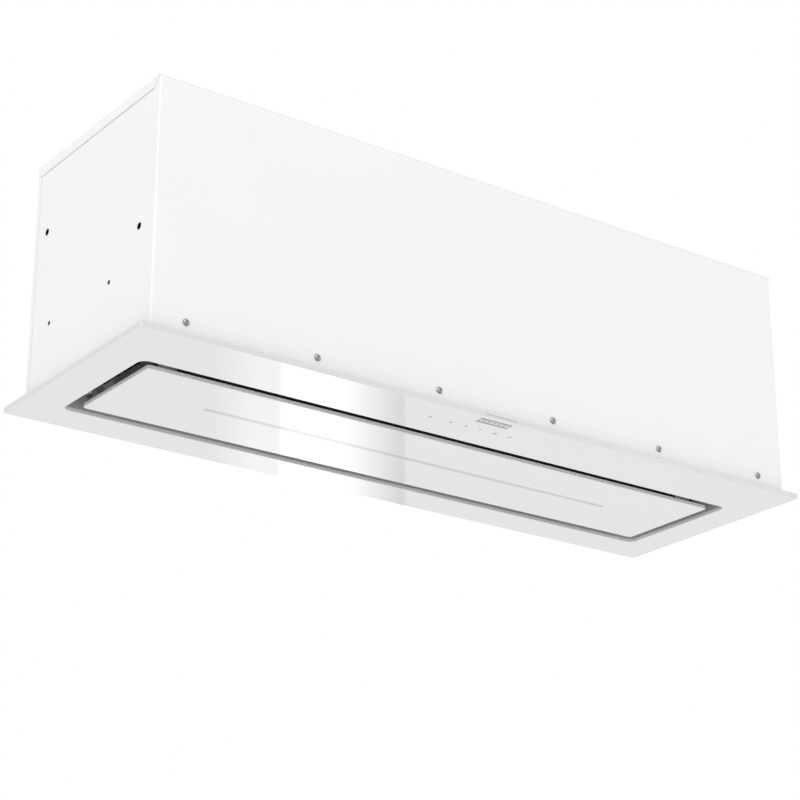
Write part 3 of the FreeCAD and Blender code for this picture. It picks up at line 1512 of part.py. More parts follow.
def electronics_box():
    """Moulded box under the top panel, open below, with bosses for the board."""
    body = new_body("electronics_box", "box_x", "box_y", "box_bottom")
    outer = new_sketch(body, "XY")
    block(outer, "0", "0", "box_length", "box_depth")
    pad(body, outer, "box_height")
    hollow = new_sketch(body, "XY")
    block(hollow, "0", "0", "box_length - 2 * box_wall", "box_depth - 2 * box_wall")
    cut(body, hollow, "box_height - box_wall")
    bosses = new_sketch(body, "XY", "box_height - box_wall - board_rise")
    for x in ("box_length / 2 - boss_inset", "boss_inset - box_length / 2"):
        for y in ("box_depth / 2 - boss_inset", "boss_inset - box_depth / 2"):
            block(bosses, x, y, "2 * boss_radius", "2 * boss_radius")
    pad(body, bosses, "board_rise")
    return body


def electronics_lid():
    """Lid that closes the electronics box from below."""
    body = new_body("electronics_lid", "box_x", "box_y", "box_bottom")
    plate = new_sketch(body, "XY", "-box_wall")
    block(plate, "0", "0", "box_length", "box_depth")
    pad(body, plate, "box_wall")
    rim = new_sketch(body, "XY")
    block(rim, "0", "0", "box_length - 2 * box_wall - 2 * seam_gap",
          "box_depth - 2 * box_wall - 2 * seam_gap")
    block(rim, "0", "0", "box_length - 4 * box_wall - 2 * seam_gap",
          "box_depth - 4 * box_wall - 2 * seam_gap")
    pad(body, rim, "2 * box_wall")
    return body


def power_board():
    """Power board with its transformer and a row of relays."""
    face = "panel_underside - box_wall - board_rise"
    body = new_body("power_board", "box_x", "box_y", face)
    board = new_sketch(body, "XY", "-board_thickness")
    block(board, "0", "0", "box_length - 2 * box_wall - 2 * board_margin",
          "box_depth - 2 * box_wall - 2 * board_margin")
    pad(body, board, "board_thickness")
    core = new_sketch(body, "XY", "-board_thickness - transformer_height")
    block(core, "transformer_shift", "0", "transformer_side", "transformer_side")
    pad(body, core, "transformer_height")
    relays = new_sketch(body, "XY", "-board_thickness - relay_height")
    for i in (-1, 0, 1):
        block(relays, "relay_shift", f"{i} * relay_pitch", "relay_length", "relay_width")
    pad(body, relays, "relay_height")
    return body


def terminal_block():
    """Screw terminals for the mains lead, on the power board."""
    face = "panel_underside - box_wall - board_rise - board_thickness"
    body = new_body("terminal_block", "box_x - box_length / 2 + terminal_inset", "box_y", face)
    strip = new_sketch(body, "XY", "-terminal_height")
    block(strip, "0", "0", "terminal_depth", "terminal_count * terminal_pitch")
    pad(body, strip, "terminal_height")
    well = new_sketch(body, "XY", "-terminal_height")
    block(well, "0", "-terminal_pitch * (terminal_count - 1) / 2", "terminal_well",
          "terminal_well")
    hole = cut(body, well, "terminal_height / 2")
    row(body, [hole], well, "V_Axis", "terminal_pitch * (terminal_count - 1)",
        "terminal_count")
    return body


# --- the whole hood -------------------------------------------------------

def build_all():
    """Every sub-part of the hood."""
    pieces = [
        casing_shell(),
        casing_rear_panel(),
        casing_top_panel(),
        frame_screws("frame_screws_front", "front_face", -1, "frame_screw_count"),
        frame_screws("frame_screws_rear", "rear_face", 1, "rear_screw_count"),
        flange_glass(),
        carrier_frame(),
        touch_board(),
        touch_board_cover(),
        filter_seat(),
        panel_glass(),
        panel_tray(),
        panel_back_cover(),
        light_diffuser(),
        led_channel(),
        led_board(),
        catch_magnets(),
        strike_plates(),
        scroll_wrapper(),
        inlet_grille(),
        impeller(),
        motor_shaft(),
        motor_housing(),
        motor_bracket(),
        motor_bushes(),
        run_capacitor(),
        capacitor_clip(),
        outlet_collar(),
        flap_axle(),
        flap("flap_front", -1),
        flap("flap_rear", 1),
        cable_gland(),
        gland_nut(),
        electronics_box(),
        electronics_lid(),
        power_board(),
        terminal_block(),
    ]
    for hand, side in (("left", -1), ("right", 1)):
        pieces += [
            filter_frame(f"filter_frame_{hand}", side),
            filter_mesh(f"filter_mesh_{hand}", side),
            filter_latch(f"filter_latch_{hand}", side),
            hinge_leaf(f"hinge_leaf_{hand}", side),
            hinge_bracket(f"hinge_bracket_{hand}", side),
            hinge_pin(f"hinge_pin_{hand}", side),
            magnet_holder(f"magnet_holder_{hand}", side),
            scroll_side(f"scroll_side_{hand}", side),
        ]
    return pieces


def check_document(pieces):
    """Stop at the first failed object or bad shape."""
    doc.recompute()
    for item in doc.Objects:
        if "Invalid" in item.State or "Error" in item.State:
            raise RuntimeError(f"{item.Name} has failed: {item.State}")
    for piece in pieces:
        shape = piece.Shape
        if shape.isNull() or not shape.isValid() or shape.Volume <= 0:
            raise RuntimeError(f"{piece.Label} has no valid solid")


def export(pieces):
    """Write one STEP file for each sub-part."""
    os.makedirs("parts", exist_ok=True)
    for piece in pieces:
        piece.Shape.exportStep(f"parts/{piece.Label}.step")
    print(len(pieces), "sub-parts written")


sub_parts = build_all()
check_document(sub_parts)
export(sub_parts)
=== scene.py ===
"""Looks of a ceiling range hood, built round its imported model.

Lengths are in metres in the model's own frame: X runs along the hood, the front
faces -Y, +Z is up, and the origin is the centre of the glass flange's underside.
"""

import json
import math

import bmesh
import bpy
from mathutils import Matrix, Vector

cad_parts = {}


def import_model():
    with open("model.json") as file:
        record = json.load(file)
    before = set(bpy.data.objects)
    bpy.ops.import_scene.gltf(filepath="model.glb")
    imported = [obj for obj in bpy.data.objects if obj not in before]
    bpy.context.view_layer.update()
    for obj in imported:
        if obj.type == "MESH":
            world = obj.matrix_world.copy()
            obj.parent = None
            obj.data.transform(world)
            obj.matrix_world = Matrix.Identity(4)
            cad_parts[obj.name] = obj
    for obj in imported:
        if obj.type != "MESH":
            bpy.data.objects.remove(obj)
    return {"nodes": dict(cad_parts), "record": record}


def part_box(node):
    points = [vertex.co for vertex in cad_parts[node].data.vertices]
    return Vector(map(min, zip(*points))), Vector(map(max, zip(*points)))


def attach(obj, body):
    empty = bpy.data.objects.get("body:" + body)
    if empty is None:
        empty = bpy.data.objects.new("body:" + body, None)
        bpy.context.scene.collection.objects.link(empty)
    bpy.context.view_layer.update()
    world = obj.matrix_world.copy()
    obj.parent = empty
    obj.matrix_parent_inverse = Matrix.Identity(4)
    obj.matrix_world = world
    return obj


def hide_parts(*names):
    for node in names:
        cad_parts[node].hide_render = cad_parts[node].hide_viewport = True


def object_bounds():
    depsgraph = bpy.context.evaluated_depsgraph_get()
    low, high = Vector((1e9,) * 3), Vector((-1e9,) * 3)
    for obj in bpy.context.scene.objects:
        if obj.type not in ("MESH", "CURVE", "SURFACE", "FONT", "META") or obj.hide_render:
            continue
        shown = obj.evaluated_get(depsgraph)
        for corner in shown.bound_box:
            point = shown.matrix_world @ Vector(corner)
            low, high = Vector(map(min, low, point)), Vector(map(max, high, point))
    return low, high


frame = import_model()
CAD_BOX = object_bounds()
MM = 0.001


# --- shader building blocks -------------------------------------------------

NOISE_SPAN = (0.3, 0.7)


class Nodes:
    """A material's node tree with short calls for the nodes used here."""

    def __init__(self, name):
        self.material = bpy.data.materials.new(name)
        self.material.use_nodes = True
        self.tree = self.material.node_tree
        self.shader = self.tree.nodes["Principled BSDF"]

    def add(self, kind, inputs=None, **settings):
        """A node; inputs are numbers, colours or other nodes' outputs."""
        node = self.tree.nodes.new(kind)
        for key, value in settings.items():
            setattr(node, key, value)
        for key, value in (inputs or {}).items():
            self.feed(node.inputs[key], value)
        return node

    def feed(self, socket, value):
        """Link an output to a socket, or set its value."""
        if isinstance(value, bpy.types.NodeSocket):
            self.tree.links.new(value, socket)
        else:
            socket.default_value = value

    def math(self, operation, a, b=0.0, c=0.0):
        """One arithmetic step."""
        return self.add("ShaderNodeMath", {0: a, 1: b, 2: c}, operation=operation).outputs[0]

    def distance(self, a, b):
        """The length of the vector (a, b)."""
        return self.math("SQRT", self.math("ADD", self.math("MULTIPLY", a, a),
                                           self.math("MULTIPLY", b, b)))

    def place(self):
        """The point on the surface, in the model's frame at rest."""
        return self.add("ShaderNodeTexCoord").outputs["Object"]

    def split(self, vector):
        """The X, Y and Z of a vector."""
        return self.add("ShaderNodeSeparateXYZ", {0: vector}).outputs

    def noise(self, scale, detail=3.0, stretch=(1, 1, 1)):
        """Noise over the surface, stretched along the axes."""
        where = self.add("ShaderNodeMapping", {"Vector": self.place(), "Scale": stretch})
        return self.add("ShaderNodeTexNoise", {"Vector": where.outputs[0], "Scale": scale,
                                               "Detail": detail}).outputs["Fac"]

    def between(self, factor, low, high):
        """A value that runs from low to high as the factor runs over noise's usual span."""
        return self.ramp(factor, NOISE_SPAN[0], NOISE_SPAN[1], low, high)

    def ramp(self, value, start, end, low=0.0, high=1.0):
        """A value that runs from low to high as another runs from start to end."""
        return self.add("ShaderNodeMapRange", {
            "Value": value, "From Min": start, "From Max": end,
            "To Min": low, "To Max": high}).outputs[0]

    def tint(self, factor, one, other):
        """A mix of two colours or of a colour socket and a colour."""
        mix = self.add("ShaderNodeMix", data_type="RGBA")
        self.feed(mix.inputs[0], factor)
        for slot, colour in ((6, one), (7, other)):
            is_socket = isinstance(colour, bpy.types.NodeSocket)
            self.feed(mix.inputs[slot], colour if is_socket else (*colour, 1))
        return mix.outputs[2]

    def rough(self, height, strength, distance, edge=0.0003):
        """Bump from a height, over edges that look slightly rounded."""
        rounded = self.add("ShaderNodeBevel", {"Radius": edge}, samples=4).outputs[0]
        bump = self.add("ShaderNodeBump", {"Height": height, "Strength": strength,
                                           "Distance": distance, "Normal": rounded})
        self.feed(self.shader.inputs["Normal"], bump.outputs[0])


def shade(colour, amount):
    """A colour made lighter or darker by a factor."""
    return tuple(min(1.0, channel * amount) for channel in colour)


def coated(name, colour, roughness, grain=1500, bump=0.06, spread=0.02):
    """Paint or moulded plastic: even colour, fine grain, slightly uneven gloss."""
    n = Nodes(name)
    drift = n.noise(9, 4)
    n.feed(n.shader.inputs["Base Color"],
           n.tint(n.between(drift, 0, 1), shade(colour, 1 - spread), shade(colour, 1 + spread)))
    n.feed(n.shader.inputs["Roughness"],
           n.between(n.noise(60, 3), roughness * 0.9, roughness * 1.12))
    n.rough(n.noise(grain, 2), bump, 0.0002)
    return n.material


def brushed(name, colour, roughness, along="x", spread=0.05):
    """Rolled or brushed sheet metal with fine lines along X or Y."""
    n = Nodes(name)
    stretch = {"x": (0.02, 1, 1), "y": (1, 0.02, 1)}[along]
    lines = n.noise(900, 2, stretch)
    cloud = n.noise(14, 4)
    base = n.tint(n.between(lines, 0, 1), shade(colour, 1 - spread), shade(colour, 1 + spread))
    n.feed(n.shader.inputs["Base Color"],
           n.tint(n.between(cloud, 0, 0.25), base, shade(colour, 0.86)))
    n.shader.inputs["Metallic"].default_value = 1.0
    n.feed(n.shader.inputs["Roughness"], n.between(lines, roughness * 0.8, roughness * 1.2))
    n.rough(lines, 0.12, 0.0001)
    return n.material


def zinc(name):
    """Galvanised sheet with its pattern of crystals."""
    n = Nodes(name)
    where = n.add("ShaderNodeMapping", {"Vector": n.place(), "Scale": (1, 1.4, 1)})
    cells = n.add("ShaderNodeTexVoronoi", {"Vector": where.outputs[0], "Scale": 110})
    tone = n.add("ShaderNodeSeparateColor", {0: cells.outputs["Color"]}).outputs[0]
    n.feed(n.shader.inputs["Base Color"], n.tint(tone, (0.52, 0.53, 0.54), (0.72, 0.73, 0.73)))
    n.shader.inputs["Metallic"].default_value = 1.0
    n.feed(n.shader.inputs["Roughness"], n.math("MULTIPLY_ADD", tone, 0.18, 0.3))
    n.rough(n.noise(500, 2), 0.08, 0.0001)
    return n.material


def circuit(name):
    """Circuit board: solder mask with tracks and pads showing through."""
    n = Nodes(name)
    cells = n.add("ShaderNodeTexVoronoi", {"Vector": n.place(), "Scale": 240},
                  feature="DISTANCE_TO_EDGE")
    track = n.math("LESS_THAN", cells.outputs["Distance"], 0.05)
    dots = n.add("ShaderNodeTexVoronoi", {"Vector": n.place(), "Scale": 160})
    pad = n.math("LESS_THAN", dots.outputs["Distance"], 0.16)
    mask = n.tint(track, (0.015, 0.12, 0.06), (0.03, 0.2, 0.1))
    n.feed(n.shader.inputs["Base Color"], n.tint(pad, mask, (0.75, 0.72, 0.6)))
    n.feed(n.shader.inputs["Roughness"], n.math("MULTIPLY_ADD", pad, -0.15, 0.4))
    n.rough(track, 0.2, 0.0001)
    return n.material


# --- glass with the touch keys' marks ----------------------------------------

# The marks' places and widths are in millimetres.
TO_MM = 1000.0
KEY_Y = -111.0
KEY_X = (-70.6, -42.5, -21.9, -2.2, 18.0, 38.3)
KEY_LINE = 0.95
LESS_LINE = 1.8
WINDOW_X = (-22.6, 18.2)
WINDOW_Y = (-140.4, -130.5)
WINDOW_LINE = 2.5
WINDOW_SIDE = 1.2
WINDOW_TINT = 0.32
EDGE_LINE_X = (-23.0, 19.5)
EDGE_LINE_Z = 2.55
EDGE_LINE_WIDTH = 1.3
EDGE_LINE_TINT = 0.5

MARK_GREY = (0.22, 0.22, 0.22)
GLASS_WHITE = (0.826, 0.826, 0.826)
# Painted shade greys the outer edges and the arris; the clear edges are lighter, partly the cut
# glass's own tone and partly painted light.
OUTER_EDGE_SHADE = (0.68, 0.68, 0.68)
CLEAR_LIT_EDGE = (0.90, 0.90, 0.90)
ARRIS_SHADE = (0.72, 0.72, 0.72)
GLASS_IOR = 1.52
# Past these lengths from the middle the flange's glass has only its outer edge.
OUTER_X, OUTER_Y = 0.445, 0.145
UNDERSIDE_TOP = 0.001
FRONT_EDGE_Y = -0.1480
# A face is an edge below the first tilt, a ground arris up to the second.
EDGE_TILT, ARRIS_TILT = 0.4, 0.9


def bar(n, x, y, cx, cy, length, width, degrees=0.0):
    """1 inside a straight bar about (cx, cy), in millimetres."""
    turn = math.radians(degrees)
    dx = n.math("SUBTRACT", x, cx)
    dy = n.math("SUBTRACT", y, cy)
    along = n.math("ADD", n.math("MULTIPLY", dx, math.cos(turn)),
                   n.math("MULTIPLY", dy, math.sin(turn)))
    across = n.math("SUBTRACT", n.math("MULTIPLY", dy, math.cos(turn)),
                    n.math("MULTIPLY", dx, math.sin(turn)))
    return n.math("MULTIPLY", n.math("LESS_THAN", n.math("ABSOLUTE", along), length / 2),
                  n.math("LESS_THAN", n.math("ABSOLUTE", across), width / 2))


def ring(n, x, y, cx, cy, radius, width):
    """1 on a circle's line about (cx, cy), in millimetres."""
    reach = n.distance(n.math("SUBTRACT", x, cx), n.math("SUBTRACT", y, cy))
    return n.math("LESS_THAN", n.math("ABSOLUTE", n.math("SUBTRACT", reach, radius)), width / 2)


def key_marks(n, x, y):
    """The touch keys' plain signs: power, less, speed, more, clock and lamp."""
    power, less, speed, more, clock, lamp = KEY_X
    line = KEY_LINE
    marks = [
        n.math("MULTIPLY", ring(n, x, y, power, KEY_Y, 1.7, line),
               n.math("SUBTRACT", 1.0, bar(n, x, y, power, KEY_Y + 1.8, 1.5, 1.6))),
        bar(n, x, y, power, KEY_Y + 1.3, line, 2.0),
        bar(n, x, y, less, KEY_Y, 4.2, LESS_LINE),
        bar(n, x, y, speed, KEY_Y, 4.0, line),
        bar(n, x, y, speed, KEY_Y, 4.0, line, 60),
        bar(n, x, y, speed, KEY_Y, 4.0, line, 120),
        bar(n, x, y, more, KEY_Y, 3.6, line),
        bar(n, x, y, more, KEY_Y, line, 3.6),
        ring(n, x, y, clock, KEY_Y, 1.8, line),
        bar(n, x, y, clock, KEY_Y + 0.6, line, 1.5),
        bar(n, x, y, clock + 0.5, KEY_Y, 1.2, line),
        ring(n, x, y, lamp, KEY_Y + 0.4, 1.4, line),
        bar(n, x, y, lamp, KEY_Y - 1.6, 1.4, line),
    ]
    low_x, high_x = WINDOW_X
    low_y, high_y = WINDOW_Y
    middle = ((low_x + high_x) / 2, (low_y + high_y) / 2)
    wide, deep = high_x - low_x, high_y - low_y
    marks += [
        bar(n, x, y, middle[0], low_y, wide, WINDOW_LINE),
        bar(n, x, y, middle[0], high_y, wide, WINDOW_LINE),
        bar(n, x, y, low_x, middle[1], WINDOW_SIDE, deep + WINDOW_LINE),
        bar(n, x, y, high_x, middle[1], WINDOW_SIDE, deep + WINDOW_LINE),
        n.math("MULTIPLY", bar(n, x, y, middle[0], middle[1], wide, deep), WINDOW_TINT),
    ]
    marks += [bar(n, x, y, middle[0] + step * wide / 6, middle[1], line * 1.4, deep / 2)
              for step in (-2, -1, 0, 1, 2)]
    total = marks[0]
    for mark in marks[1:]:
        total = n.math("MAXIMUM", total, mark)
    return total


def white_glass(name, with_keys):
    """Back-painted glass: glossy white face, polished edges and a ground arris, greyed by
    facing as painted shade on the outer edges and arris, lifted as painted light on the clear
    edges.
    """
    n = Nodes(name)
    drift = n.noise(5, 2)
    face = n.tint(n.between(drift, 0, 1), shade(GLASS_WHITE, 0.993), shade(GLASS_WHITE, 1.007))
    normal_z = n.split(n.add("ShaderNodeNewGeometry").outputs["True Normal"])[2]
    tilt = n.math("ABSOLUTE", normal_z)
    edge = CLEAR_LIT_EDGE
    if with_keys:
        x, y, z = n.split(n.place())
        outer = n.math("MAXIMUM", n.math("GREATER_THAN", n.math("ABSOLUTE", x), OUTER_X),
                       n.math("GREATER_THAN", n.math("ABSOLUTE", y), OUTER_Y))
        edge = n.tint(outer, CLEAR_LIT_EDGE, OUTER_EDGE_SHADE)
        x_mm, y_mm, z_mm = (n.math("MULTIPLY", length, TO_MM) for length in (x, y, z))
        marks = n.math("MULTIPLY", key_marks(n, x_mm, y_mm),
                       n.math("LESS_THAN", z, UNDERSIDE_TOP))
        face = n.tint(marks, face, MARK_GREY)
        thin = bar(n, x_mm, z_mm, sum(EDGE_LINE_X) / 2, EDGE_LINE_Z,
                   EDGE_LINE_X[1] - EDGE_LINE_X[0], EDGE_LINE_WIDTH)
        ahead = n.math("LESS_THAN", y, FRONT_EDGE_Y)
        line = n.math("MULTIPLY", n.math("MULTIPLY", thin, ahead), EDGE_LINE_TINT)
        edge = n.tint(line, edge, MARK_GREY)
    # Edges and arris take their greys by facing: painted shade and painted light.
    side = n.tint(n.math("GREATER_THAN", tilt, EDGE_TILT), edge, ARRIS_SHADE)
    n.feed(n.shader.inputs["Base Color"],
           n.tint(n.math("GREATER_THAN", tilt, ARRIS_TILT), side, face))
    n.feed(n.shader.inputs["Roughness"], n.between(n.noise(30, 2), 0.035, 0.055))
    n.shader.inputs["IOR"].default_value = GLASS_IOR
    n.rough(n.noise(20, 1), 0.02, 0.0001, edge=0.0005)
    return n.material


def opal(name):
    """Frosted strip over the lamps, with fine ridges across it."""
    n = Nodes(name)
    ridges = n.add("ShaderNodeTexWave", {"Vector": n.place(), "Scale": 400, "Distortion": 0.0},
                   bands_direction="X").outputs["Fac"]
    n.feed(n.shader.inputs["Base Color"],
           n.tint(n.between(n.noise(25, 3), 0, 1), (0.585, 0.64, 0.65), (0.615, 0.665, 0.675)))
    n.shader.inputs["Roughness"].default_value = 0.05
    n.shader.inputs["IOR"].default_value = GLASS_IOR
    n.shader.inputs["Subsurface Weight"].default_value = 0.15
    n.shader.inputs["Subsurface Scale"].default_value = 0.002
    n.rough(ridges, 0.02, 0.0001, edge=0.0002)
    return n.material


# --- painted steel --------------------------------------------------------------

# Centre lines of the casing's two front bends, and the reach inside its walls.
BEND_X, BEND_Y = 0.432, -0.1362
INNER_REACH = 0.0019
INNER_REAR_Y = 0.1273
INNER_TOP_Z = 0.2873
# The casing's ends, and where the rear and top panels' lips lie on them.
END_FACE = 0.434
FACE_SLACK = 0.0001
REAR_LIP_Y = 0.1199
TOP_LIP_Z = 0.2757
TOP_LIP_Y = -0.1262
# Width of the painted shade ring round each end hole.
RIM_SHADE_WIDTH = 0.0006
# The plain pilot holes aren't mounts, so the record doesn't give them.
PILOT_HOLES = ((-0.0481, 0.086, 0.002), (0.0824, 0.086, 0.002))
# Painted shadow along the lips' edges on the casing's ends.
LIP_SHADOW_GREY = (0.73, 0.73, 0.735)
# Painted shade colour for the inner faces, the holes and their rims.
SHADE_DARK = (0.06, 0.062, 0.065)


def punched_holes():
    """(y, z, radius) of each hole in the casing's ends."""
    holes = list(PILOT_HOLES)
    for mount in frame["record"]["mounts"]:
        if mount["name"].startswith("bracket_hole_left"):
            _, y, z = mount["pos_m"]
            holes.append((y, z, mount["dims"]["r_mm"] * MM))
    return holes


def casing_paint_and_shade(name):
    """White powder coat, with painted shade on the inner faces, in the holes and round their
    rims, and painted shadow along the lips' edges.
    """
    n = Nodes(name)
    x, y, z = n.split(n.place())
    across = n.math("ABSOLUTE", x)
    past_x = n.math("MAXIMUM", n.math("SUBTRACT", across, BEND_X), 0.0)
    past_y = n.math("MAXIMUM", n.math("SUBTRACT", BEND_Y, y), 0.0)
    # Painted shade on the casing's inner faces.
    inside = n.math("MULTIPLY", n.math("LESS_THAN", n.distance(past_x, past_y), INNER_REACH),
                    n.math("MULTIPLY", n.math("LESS_THAN", y, INNER_REAR_Y),
                           n.math("LESS_THAN", z, INNER_TOP_Z)))
    on_end = n.math("LESS_THAN", n.math("ABSOLUTE", n.math("SUBTRACT", across, END_FACE)),
                    FACE_SLACK)
    by_lip = n.math("GREATER_THAN", y, REAR_LIP_Y)
    by_top = n.math("MULTIPLY", n.math("GREATER_THAN", z, TOP_LIP_Z),
                    n.math("GREATER_THAN", y, TOP_LIP_Y))
    # Painted shadow on the end faces next to the lips' edges.
    lip_shadow = n.math("MULTIPLY", on_end, n.math("MAXIMUM", by_lip, by_top))
    white = n.tint(n.between(n.noise(9, 4), 0, 1), (0.842, 0.845, 0.845), (0.852, 0.856, 0.856))
    white = n.tint(lip_shadow, white, LIP_SHADOW_GREY)
    for spot_y, spot_z, radius in punched_holes():
        # Painted shade filling each hole and a ring round its rim.
        away = n.distance(n.math("SUBTRACT", y, spot_y), n.math("SUBTRACT", z, spot_z))
        rim_shade = n.math("MULTIPLY", on_end, n.math("LESS_THAN", away, radius + RIM_SHADE_WIDTH))
        white = n.tint(rim_shade, white, SHADE_DARK)
    n.feed(n.shader.inputs["Base Color"], n.tint(inside, white, SHADE_DARK))
    n.feed(n.shader.inputs["Roughness"], n.between(n.noise(60, 3), 0.38, 0.47))
    n.rough(n.noise(1500, 2), 0.05, 0.0002)
    return n.material


# The carrier's strip outside the casing: its top, and its inner edges.
STRIP_TOP = 0.00625
STRIP_X, STRIP_Y = 0.4352, 0.1334
CASING_SHIFT_Y = 0.005


def carrier_paint_and_shade(name):
    """Grey painted steel; the strip outside the casing is white, and dark on top as painted
    shade for the casing's foot.
    """
    n = Nodes(name)
    x, y, z = n.split(n.place())
    past_y = n.math("ABSOLUTE", n.math("ADD", y, CASING_SHIFT_Y))
    rim = n.math("MULTIPLY", n.math("LESS_THAN", z, STRIP_TOP), n.math(
        "MAXIMUM", n.math("GREATER_THAN", n.math("ABSOLUTE", x), STRIP_X),
        n.math("GREATER_THAN", past_y, STRIP_Y)))
    up = n.split(n.add("ShaderNodeNewGeometry").outputs["True Normal"])[2]
    # Painted shade: the strip's top is dark by facing, which darkens the light it sends up onto
    # the casing's foot.
    top = n.math("GREATER_THAN", up, 0.5)
    grey = n.tint(n.between(n.noise(14, 4), 0, 1), (0.47, 0.472, 0.475), (0.51, 0.512, 0.515))
    strip = n.tint(top, (0.70, 0.71, 0.71), (0.16, 0.165, 0.17))
    n.feed(n.shader.inputs["Base Color"], n.tint(rim, grey, strip))
    n.feed(n.shader.inputs["Roughness"], n.between(n.noise(60, 3), 0.4, 0.5))
    n.rough(n.noise(1200, 2), 0.06, 0.0002)
    return n.material


# Where the painted light on the tray's ends grows lighter towards the hinges, and the width of
# its fade.
TRAY_SPLIT = 0.040
TRAY_FADE = 0.006


def tray_paint_and_shade(name):
    """Dark paint, near black as painted shade in the gap too; the ends are greyer by facing as
    painted light, most of all beside the hinges.
    """
    n = Nodes(name)
    y = n.split(n.place())[1]
    side = n.split(n.add("ShaderNodeNewGeometry").outputs["True Normal"])[0]
    # Painted light: faces along X are greyer, and lighter still towards the rear.
    on_end = n.math("GREATER_THAN", n.math("ABSOLUTE", side), 0.7)
    lit_by_hinge = n.ramp(y, TRAY_SPLIT - TRAY_FADE, TRAY_SPLIT + TRAY_FADE)
    end = n.tint(lit_by_hinge, (0.20, 0.20, 0.202), (0.58, 0.58, 0.582))
    dark = n.tint(n.between(n.noise(9, 4), 0, 1), (0.028, 0.028, 0.03), (0.033, 0.033, 0.035))
    n.feed(n.shader.inputs["Base Color"], n.tint(on_end, dark, end))
    n.feed(n.shader.inputs["Roughness"], n.between(n.noise(60, 3), 0.45, 0.56))
    n.rough(n.noise(1500, 2), 0.06, 0.0002)
    return n.material


# The hinge pins' line, the ears' radius, and the fade to the painted dark-blue shade below the
# line.
PIN_Y, PIN_Z = 0.066, 0.010
EAR_REACH = 0.007
SHADE_FADE = (-0.0005, -0.0025)


def hinge_paint_and_shade(name):
    """Grey hinge, with painted dark-blue shade on its lower half round its pin."""
    n = Nodes(name)
    _, y, z = n.split(n.place())
    dz = n.math("SUBTRACT", z, PIN_Z)
    away = n.distance(n.math("SUBTRACT", y, PIN_Y), dz)
    # Painted shade: dark blue on the lower half within the ears' reach.
    blue = n.math("MULTIPLY", n.ramp(dz, *SHADE_FADE), n.math("LESS_THAN", away, EAR_REACH))
    grey = n.tint(n.between(n.noise(14, 4), 0, 1), (0.72, 0.722, 0.725), (0.76, 0.762, 0.765))
    n.feed(n.shader.inputs["Base Color"], n.tint(blue, grey, (0.035, 0.045, 0.065)))
    n.feed(n.shader.inputs["Roughness"], n.between(n.noise(60, 3), 0.36, 0.45))
    n.rough(n.noise(1200, 2), 0.06, 0.0002)
    return n.material


MATERIALS = {
    "white_steel": casing_paint_and_shade("powder_white"),
    "white_glass": white_glass("white_glass_panel", False),
    "flange": white_glass("white_glass_flange", True),
    "carrier_steel": coated("grey_steel_paint", (0.42, 0.425, 0.43), 0.4, spread=0.02),
    "carrier": carrier_paint_and_shade("carrier_paint_and_shade"),
    "tray_dark_and_shade": tray_paint_and_shade("tray_paint_and_shade"),
    "plated": brushed("plated_steel", (0.74, 0.74, 0.74), 0.45, spread=0.03),
    "hinge": hinge_paint_and_shade("hinge_paint_and_shade"),
    "screw_steel": brushed("screw_metal", (0.46, 0.42, 0.38), 0.34),
    "filter_aluminium": brushed("filter_metal", (0.60, 0.61, 0.62), 0.36, "y"),
    "grey_plastic": coated("grey_moulding", (0.30, 0.31, 0.32), 0.5, bump=0.12),
    "opal_plastic": opal("opal_strip"),
    "board_green": circuit("circuit_board"),
    "magnet_black": coated("magnet_coating", (0.04, 0.04, 0.045), 0.35, spread=0.1),
    "zinc_sheet": zinc("zinc_sheet"),
    "black_plastic": coated("black_moulding", (0.035, 0.035, 0.038), 0.45, bump=0.14,
                            spread=0.08),
    "motor_enamel": coated("motor_enamel", (0.06, 0.06, 0.065), 0.4, grain=700, spread=0.08),
    "rubber_black": coated("rubber", (0.025, 0.025, 0.025), 0.75, bump=0.2, spread=0.1),
    "white_plastic": coated("white_moulding", (0.8, 0.8, 0.78), 0.45, bump=0.08),
}

# Nodes whose look isn't their slot's.
OWN_LOOKS = {
    "flange_glass": "flange",
    "carrier_frame": "carrier",
    "panel_tray": "tray_dark_and_shade",
    "panel_back_cover": "tray_dark_and_shade",
    "strike_plates": "plated",
    "hinge_pin_left": "hinge",
    "hinge_pin_right": "hinge",
    "hinge_bracket_left": "hinge",
    "hinge_bracket_right": "hinge",
}


def dress(item, key):
    """Give an object one material."""
    item.data.materials.clear()
    item.data.materials.append(MATERIALS[key])


def dress_frame():
    """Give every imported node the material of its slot."""
    for entry in frame["record"]["subparts"]:
        dress(frame["nodes"][entry["node"]], entry["material_slot"])
    for node, key in OWN_LOOKS.items():
        dress(frame["nodes"][node], key)


# --- mesh building blocks -----------------------------------------------------

SMOOTH_BELOW = 35


def solid(name, mesh, key, body):
    """Turn a bmesh into a piece of the hood."""
    bmesh.ops.recalc_face_normals(mesh, faces=mesh.faces)
    data = bpy.data.meshes.new(name)
    mesh.to_mesh(data)
    mesh.free()
    piece = bpy.data.objects.new(name, data)
    bpy.context.scene.collection.objects.link(piece)
    data.polygons.foreach_set("use_smooth", [True] * len(data.polygons))
    data.set_sharp_from_angle(angle=math.radians(SMOOTH_BELOW))
    dress(piece, key)
    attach(piece, body)
    return piece


